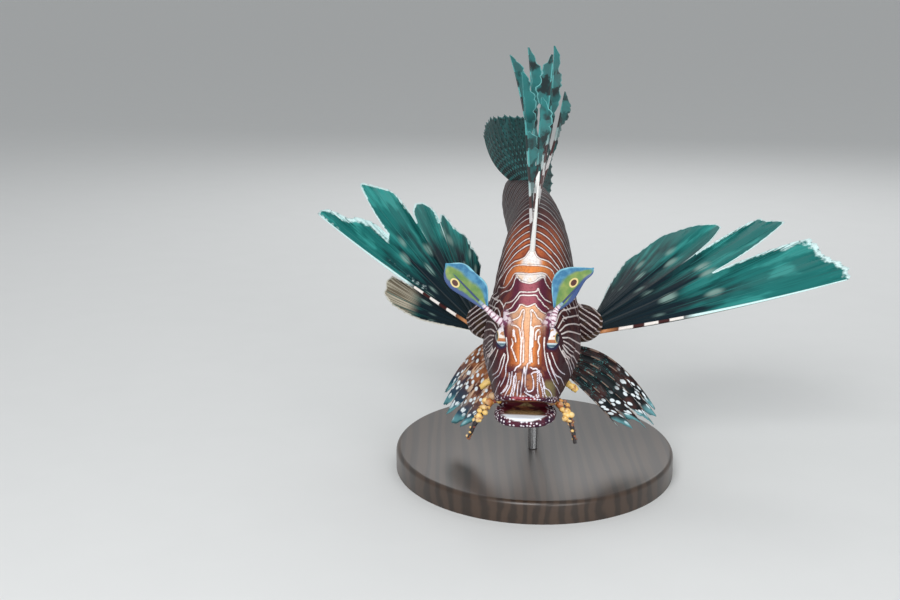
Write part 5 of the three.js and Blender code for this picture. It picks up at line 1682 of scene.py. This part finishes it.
STALK_ROOT = np.array([11.6, 31, 22])
TOWARDS_VIEWER = np.array([0, -0.8, 0.6])
LEAVES = {
    "left": {
        "start": [14.4, 35.9, 28.4], "tip": [33.1, 46, 47.6], "length": 28.5,
        "outer": [[0, -1.2], [9.4, -3], [21, -0.9], [26.8, -1], [28.5, 0.4]],
        "inner": [[0, 2], [8.6, 10.7], [15.2, 12.5], [20.3, 9.8], [28.5, 0.4]], "spot": (0.57, 0.33),
    },
    "right": {
        "start": [-21.5, 36.2, 28.1], "tip": [-43.1, 46.5, 47.4], "length": 30.5,
        "outer": [[0, -1.4], [10.3, -3.9], [21.2, -6.1], [27, -4], [30.5, 0.9]],
        "inner": [[0, 1.6], [8, 8.4], [16, 8.6], [24.8, 7.2], [30.5, 0.9]], "spot": (0.66, 0.24),
    },
}


def leaf(word, side):
    shape = LEAVES[word]
    start, tip = np.array(shape["start"], float), np.array(shape["tip"], float)
    root = mirrored(STALK_ROOT, side)
    along = unit(tip - start)
    facing = unit(TOWARDS_VIEWER - along * (along @ TOWARDS_VIEWER))
    inward = np.cross(facing, along) * side
    knee = (root + start) / 2 + [0, -1, 0]
    stalk = tube("stalk", [root, knee, start, start + 5 * along], lambda f: 2.1 - 1.15 * f, 14, 36)
    record(stalk, part=0.0, length=0.0, width=0.0, spot=9.0)
    blade, w, t = sheet("leaf", 26, 44)
    reach = shape["length"] * (1 - (1 - t) ** 1.15)
    outer = cubic_table(shape["outer"])(reach)[:, 0]
    inner = cubic_table(shape["inner"])(reach)[:, 0]
    across = outer + (inner - outer) * w
    cup = 1.3 * (w - 0.45) ** 2 * (inner - outer) / 8 + 0.35 * np.sin(t * 11) * np.abs(w - 0.4)
    put(blade, start + reach[:, None] * along + across[:, None] * inward + cup[:, None] * facing)
    spot_t, spot_w = shape["spot"]
    at = spot_t * shape["length"]
    low, high = np.interp(at, *np.array(shape["outer"]).T), np.interp(at, *np.array(shape["inner"]).T)
    centre = low + (high - low) * spot_w
    spot = np.hypot((reach - at) / 2.6, (across - centre) / 1.9)
    record(blade, part=1.0, length=t, width=w, spot=spot, out=t)
    shaped(blade, "SOLIDIFY", thickness=0.8, offset=0.0)
    rib = tube(
        "rib", [start, (start + tip) / 2 + 0.4 * facing, start + 0.9 * (tip - start)],
        lambda f: 0.75 * (1 - 0.7 * f), 8, 20,
    )
    record(rib, part=2.0, length=0.0, width=0.4, spot=9.0)
    return joined([stalk, blade, rib], f"leaf_{word}")


def leaf_finish():
    finish = Finish("leaf_skin", Roughness=0.4, Coat_Weight=0.35, Coat_Roughness=0.2)
    width, spot, part = finish.value("width"), finish.value("spot"), finish.value("part")
    wobble = finish.plus(width, finish.centred(finish.noise(150, 3), 0.22))
    green = finish.mix(
        finish.between(finish.noise(170, 3), 0.35, 0.75), (0.10, 0.22, 0.05), (0.27, 0.34, 0.08)
    )
    colour = finish.mix(finish.between(wobble, 0.10, 0.2), (0.02, 0.06, 0.20), green)
    blue = finish.mix(finish.between(finish.noise(260, 3), 0.4, 0.65), (0.02, 0.15, 0.30), (0.07, 0.26, 0.42))
    colour = finish.mix(finish.between(wobble, 0.58, 0.76), colour, blue)
    colour = finish.mix(finish.between(wobble, 0.93, 0.99), colour, (0.20, 0.50, 0.62))
    colour = finish.mix(finish.between("length", 0.86, 0.99), colour, (0.04, 0.26, 0.42))
    colour = finish.mix(finish.between(spot, 1.0, 1.12, 1.0, 0.0), colour, (0.72, 0.58, 0.24))
    colour = finish.mix(finish.between(spot, 0.66, 0.76, 1.0, 0.0), colour, (0.07, 0.012, 0.006))
    rings = finish.math("SINE", finish.plus(finish.times("out", 50.0), finish.times(finish.noise(500, 2), 5)))
    stalk = finish.mix(finish.between(rings, 0.3, 0.8), (0.78, 0.66, 0.72), (0.26, 0.09, 0.15))
    stalk = finish.mix(finish.between("out", 0.72, 0.95), stalk, (0.20, 0.34, 0.44))
    colour = finish.mix(finish.between(part, 0.4, 0.6), stalk, colour)
    colour = finish.mix(finish.between(part, 1.4, 1.6), colour, (0.025, 0.05, 0.16))
    finish.to("Base Color", colour)
    finish.bump(finish.noise(1100, 3), 0.00015, 0.5)
    return finish.material


DOWN = np.array([0, -math.sin(math.radians(PITCH_DEG)), -math.cos(math.radians(PITCH_DEG))])
LUMPS = 46
# Small lumps on the thin end of a mouth tentacle, as shares of its length
END_LUMPS = (0.62, 0.64, 0.73, 0.75, 0.78, 0.86, 0.93, 0.96)
TENTACLE_SPLAY = {"left": 6, "right": 10}
KNOB_PATH = [[16, 33, -15], [21, 31.5, -17], [25.4, 30, -20]]


def lump(centre, out, size, tone, random):
    """One ruffled lump of a mouth tentacle."""
    piece = ball("lump", centre, (size, size * 0.8, size * 0.9), 24, 14)
    p = places(piece)
    across = unit(p - centre)
    wave = np.sin(across @ np.array([5.0, 3, 4]) * 2.1 + 6.28 * next(random))
    wave = wave * np.cos(across @ np.array([-3.0, 5, 2]) * 2.2)
    put(piece, p + normals(piece) * (0.44 * size * wave)[:, None] + 0.3 * size * unit(out))
    # out holds each ripple's rise, for the painted shade in its hollows and the painted highlight on its
    # crests
    record(piece, out=wave, part=1.0, tone=tone)
    return piece


def mouth_tentacle(word, side):
    random = seeded(11 if side > 0 else 29)
    root = np.array([14.5, 12.5, -11])
    knee = np.array([19.5, 9, -13.5])
    tip = knee + DOWN * 18 + [TENTACLE_SPLAY[word], -1, 0]
    middle = (knee + tip) / 2 + [1.2, -0.6, 0]
    path = [mirrored(p, side) for p in (root, knee, middle, tip)]
    shaft = tube("shaft", path, lambda f: (1.9 - 1.0 * f) * (1 + 0.10 * math.sin(f * 40)), 14, 70)
    record(shaft, part=0.0, tone=0.5)
    pieces = [shaft]
    line = smooth_curve(path, 40)
    for i in range(LUMPS):
        f = 0.03 + 0.57 * (i / (LUMPS - 1)) ** 1.1
        turn = 2.4 * i + next(random)
        out = np.array(
            [math.cos(turn) + 0.3 * side, math.sin(turn) * 0.8 - 0.3, 0.5 * math.cos(2 * turn) - 0.1]
        )
        size = (1.85 - 1.4 * f) * (0.6 + 0.6 * next(random))
        centre = line[int(40 * f)] + unit(out) * (0.8 + 2.7 * next(random) * (1 - f) ** 1.5)
        pieces.append(lump(centre, out, size, 0.75 * next(random) + 1.1 * f - 0.02, random))
    for i, f in enumerate(END_LUMPS):
        turn = 2.1 * i + next(random)
        out = np.array([math.cos(turn), math.sin(turn) * 0.6, 0.2])
        pieces.append(lump(line[int(40 * f)] + unit(out) * 0.9, out, 0.95 - 0.35 * f, next(random), random))
    return joined(pieces, f"frill_{word}")


def cheek_knob(word, side):
    path = [mirrored(p, side) for p in KNOB_PATH]
    piece = tube(f"knob_{word}", path, lambda f: 1.1 + 1.7 * f * math.sqrt(max(0, 1.02 - f)), 20, 24)
    p = places(piece)
    put(piece, p + normals(piece) * (0.28 * ripple(p, 3.2, 2))[:, None])
    record(piece, part=1.0, out=0.3, tone=0.9)
    return piece


def flap_finish():
    look = settings("fin_settings")
    finish = Finish("frill_skin", Roughness=0.38, Coat_Weight=0.4, Coat_Roughness=0.15)
    out, tone = finish.value("out"), finish.value("tone")
    cloud = finish.noise(330, 3)
    leafy = finish.mix(finish.between(tone, 0.35, 0.75), look.flap, (0.85, 0.56, 0.16))
    leafy = finish.mix(finish.between(tone, 0.36, 0.24), leafy, (0.24, 0.035, 0.018))
    leafy = finish.mix(finish.between(cloud, 0.54, 0.64, 0.0, 0.75), leafy, (0.30, 0.07, 0.02))
    # Painted shade: the ripples' hollows go dark red, partly the tentacles' own dark red lines
    leafy = finish.mix(finish.between(out, 0.25, -0.55, 0.0, 0.9), leafy, (0.13, 0.025, 0.014))
    # Painted highlight: the ripples' crests go cream
    leafy = finish.mix(finish.between(out, 0.5, 1.0, 0.0, 0.5), leafy, (0.95, 0.74, 0.40))
    shaft = finish.mix(
        finish.between(finish.noise(300, 2), 0.55, 0.62), (0.016, 0.010, 0.012), (0.30, 0.10, 0.03)
    )
    finish.to("Base Color", finish.mix(finish.between("part", 0.5, 0.9), shaft, leafy))
    finish.bump(finish.noise(800, 3), 0.0005, 0.7)
    return finish.material


class LIONFISH_OT_flaps(bpy.types.Operator):
    """Build the leaves over the eyes, the lumpy tentacles at the mouth and the knobs on the cheeks"""

    bl_idname = "lionfish.flaps"
    bl_label = "Leaves and tentacles"

    def execute(self, context):
        leafy, frilly = leaf_finish(), flap_finish()
        for word, side in SIDES.items():
            settle(leaf(word, side), leafy, "leaf", f"brow_tentacle_{word}")
            settle(mouth_tentacle(word, side), frilly, "flap", f"mouth_tentacle_{word}")
            settle(cheek_knob(word, side), frilly, "flap", f"cheek_flap_{word}")
        return {"FINISHED"}


# Stand

BASE_HALF_X = 78
BASE_HALF_Y = 92
BASE_HEIGHT = 12


def wood_finish():
    look = settings("stand_settings")
    finish = Finish("stained_wood", Roughness=0.38, Coat_Weight=0.3, Coat_Roughness=0.25)
    node = finish.tree.nodes.new("ShaderNodeTexWave")
    node.wave_type = "BANDS"
    node.bands_direction = "X"
    mapping = finish.tree.nodes.new("ShaderNodeMapping")
    mapping.inputs["Scale"].default_value = (90, 7, 60)
    finish.link(finish.place(), mapping.inputs["Vector"])
    finish.link(mapping.outputs[0], node.inputs["Vector"])
    node.inputs["Scale"].default_value = 0.5
    node.inputs["Distortion"].default_value = 7
    node.inputs["Detail"].default_value = 3
    node.inputs["Detail Scale"].default_value = 1.2
    grain = node.outputs["Fac"]
    dark = tuple(0.45 * c for c in look.wood)
    colour = finish.mix(finish.between(grain, 0.2, 0.9), look.wood, dark)
    finish.to("Base Color", colour)
    finish.bump(grain, 0.0001, 0.3)
    return finish.material


def steel_finish():
    finish = Finish("brushed_steel", Metallic=1.0)
    grain = finish.noise(1500, 3)
    finish.to("Base Color", finish.mix(grain, (0.42, 0.43, 0.44), (0.62, 0.63, 0.64)))
    finish.to("Roughness", finish.between(grain, 0.3, 0.7, 0.24, 0.4))
    finish.bump(grain, 0.00004, 0.3)
    return finish.material


class LIONFISH_OT_stand(bpy.types.Operator):
    """Build the oval wooden base and give the two rods their satin steel"""

    bl_idname = "lionfish.stand"
    bl_label = "Display stand"

    def execute(self, context):
        bpy.ops.object.select_all(action="DESELECT")
        bpy.ops.mesh.primitive_cylinder_add(vertices=128, radius=1, depth=1, end_fill_type="NGON")
        base = bpy.context.object
        base.name = base.data.name = "stand_base_dressed"
        put(base, places(base) * [BASE_HALF_X, BASE_HALF_Y, BASE_HEIGHT] + [0, 0, BASE_HEIGHT / 2])
        top = places(base)[:, 2] > BASE_HEIGHT / 2
        weights = base.data.attributes.new("bevel_weight_edge", "FLOAT", "EDGE")
        weights.data.foreach_set(
            "value", [float(top[a] and top[b]) for a, b in (e.vertices for e in base.data.edges)]
        )
        shaped(base, "BEVEL", width=settings("stand_settings").edge, segments=6, limit_method="WEIGHT")
        put(base, places(base) * MM)
        hand_over(base, wood_finish(), "base", "stand_base", smooth=False)
        select_only(base)
        bpy.ops.object.shade_smooth_by_angle(angle=math.radians(40))
        steel = steel_finish()
        for name in ("stand_rod_front", "stand_rod_rear"):
            frame["nodes"][name].data.materials.clear()
            frame["nodes"][name].data.materials.append(steel)
        return {"FINISHED"}


# Studio

# Place of each light, its size, and its power as a share of the key light's
LIGHTS = {
    "key": ((-0.30, -1.0, 0.85), 0.55, 1),
    "fill": ((0.45, -1.1, 0.32), 0.5, 0.40),
    "rim": ((0.2, 0.95, 0.9), 0.9, 0.5),
}
LIT_POINT = (0, 0, 0.12)
SKY = (0.80, 0.82, 0.83, 1)
SKY_STRENGTH = 0.55
CAMERA_AT = (-0.0476, -0.7572, 0.2704)
CAMERA_TILT_DEG = 77


class LIONFISH_OT_studio(bpy.types.Operator):
    """Set up the pale floor, the soft lights and the camera"""

    bl_idname = "lionfish.studio"
    bl_label = "Studio"

    def execute(self, context):
        look = settings("studio_settings")
        bpy.ops.object.select_all(action="DESELECT")
        bpy.ops.mesh.primitive_plane_add(size=80)
        floor = bpy.context.object
        floor.name = "studio_floor"
        finish = Finish("floor_paper", Roughness=0.9)
        finish.to(
            "Base Color", finish.mix(finish.noise(30, 2), look.floor, tuple(0.97 * c for c in look.floor))
        )
        floor.data.materials.append(finish.material)
        for name, (at, size, power) in LIGHTS.items():
            bpy.ops.object.light_add(type="AREA", location=at)
            light = bpy.context.object
            light.name = f"studio_{name}"
            light.data.size = size
            light.data.energy = power * look.key
            light.rotation_euler = (Vector(LIT_POINT) - Vector(at)).to_track_quat("-Z", "Y").to_euler()
        world = bpy.data.worlds.new("studio")
        world.use_nodes = True
        background = world.node_tree.nodes["Background"]
        background.inputs[0].default_value = SKY
        background.inputs[1].default_value = SKY_STRENGTH
        context.scene.world = world
        context.scene.view_settings.view_transform = "Standard"
        bpy.ops.object.camera_add(location=CAMERA_AT, rotation=(math.radians(CAMERA_TILT_DEG), 0, 0))
        camera = bpy.context.object
        camera.data.lens = look.lens
        camera.data.sensor_width = 36
        camera.data.clip_start = 0.01
        context.scene.camera = camera
        return {"FINISHED"}


OPERATORS = (
    LIONFISH_OT_skin, LIONFISH_OT_eyes, LIONFISH_OT_side_fins, LIONFISH_OT_rear_fins,
    LIONFISH_OT_dorsal, LIONFISH_OT_flaps, LIONFISH_OT_stand, LIONFISH_OT_studio,
)
SETTINGS = {
    "skin_settings": SkinSettings, "fin_settings": FinSettings,
    "stand_settings": StandSettings, "studio_settings": StudioSettings,
}


class LIONFISH_PT_panel(bpy.types.Panel):
    """Steps that build the fish, in order"""

    bl_label = "Lionfish"
    bl_idname = "LIONFISH_PT_panel"
    bl_space_type = "VIEW_3D"
    bl_region_type = "UI"
    bl_category = "Lionfish"

    def draw(self, context):
        for operator in OPERATORS:
            self.layout.operator(operator.bl_idname)
        for name, group in SETTINGS.items():
            for key in group.__annotations__:
                self.layout.prop(getattr(context.scene, name), key)


def register():
    for group in SETTINGS.values():
        bpy.utils.register_class(group)
    for name, group in SETTINGS.items():
        setattr(bpy.types.Scene, name, bpy.props.PointerProperty(type=group))
    for operator in OPERATORS:
        bpy.utils.register_class(operator)
    bpy.utils.register_class(LIONFISH_PT_panel)


def unregister():
    bpy.utils.unregister_class(LIONFISH_PT_panel)
    for operator in reversed(OPERATORS):
        bpy.utils.unregister_class(operator)
    for name in SETTINGS:
        delattr(bpy.types.Scene, name)
    for group in reversed(list(SETTINGS.values())):
        bpy.utils.unregister_class(group)


def main():
    register()
    for operator in OPERATORS:
        group, name = operator.bl_idname.split(".")
        getattr(getattr(bpy.ops, group), name)()


if __name__ == "__main__":
    main()
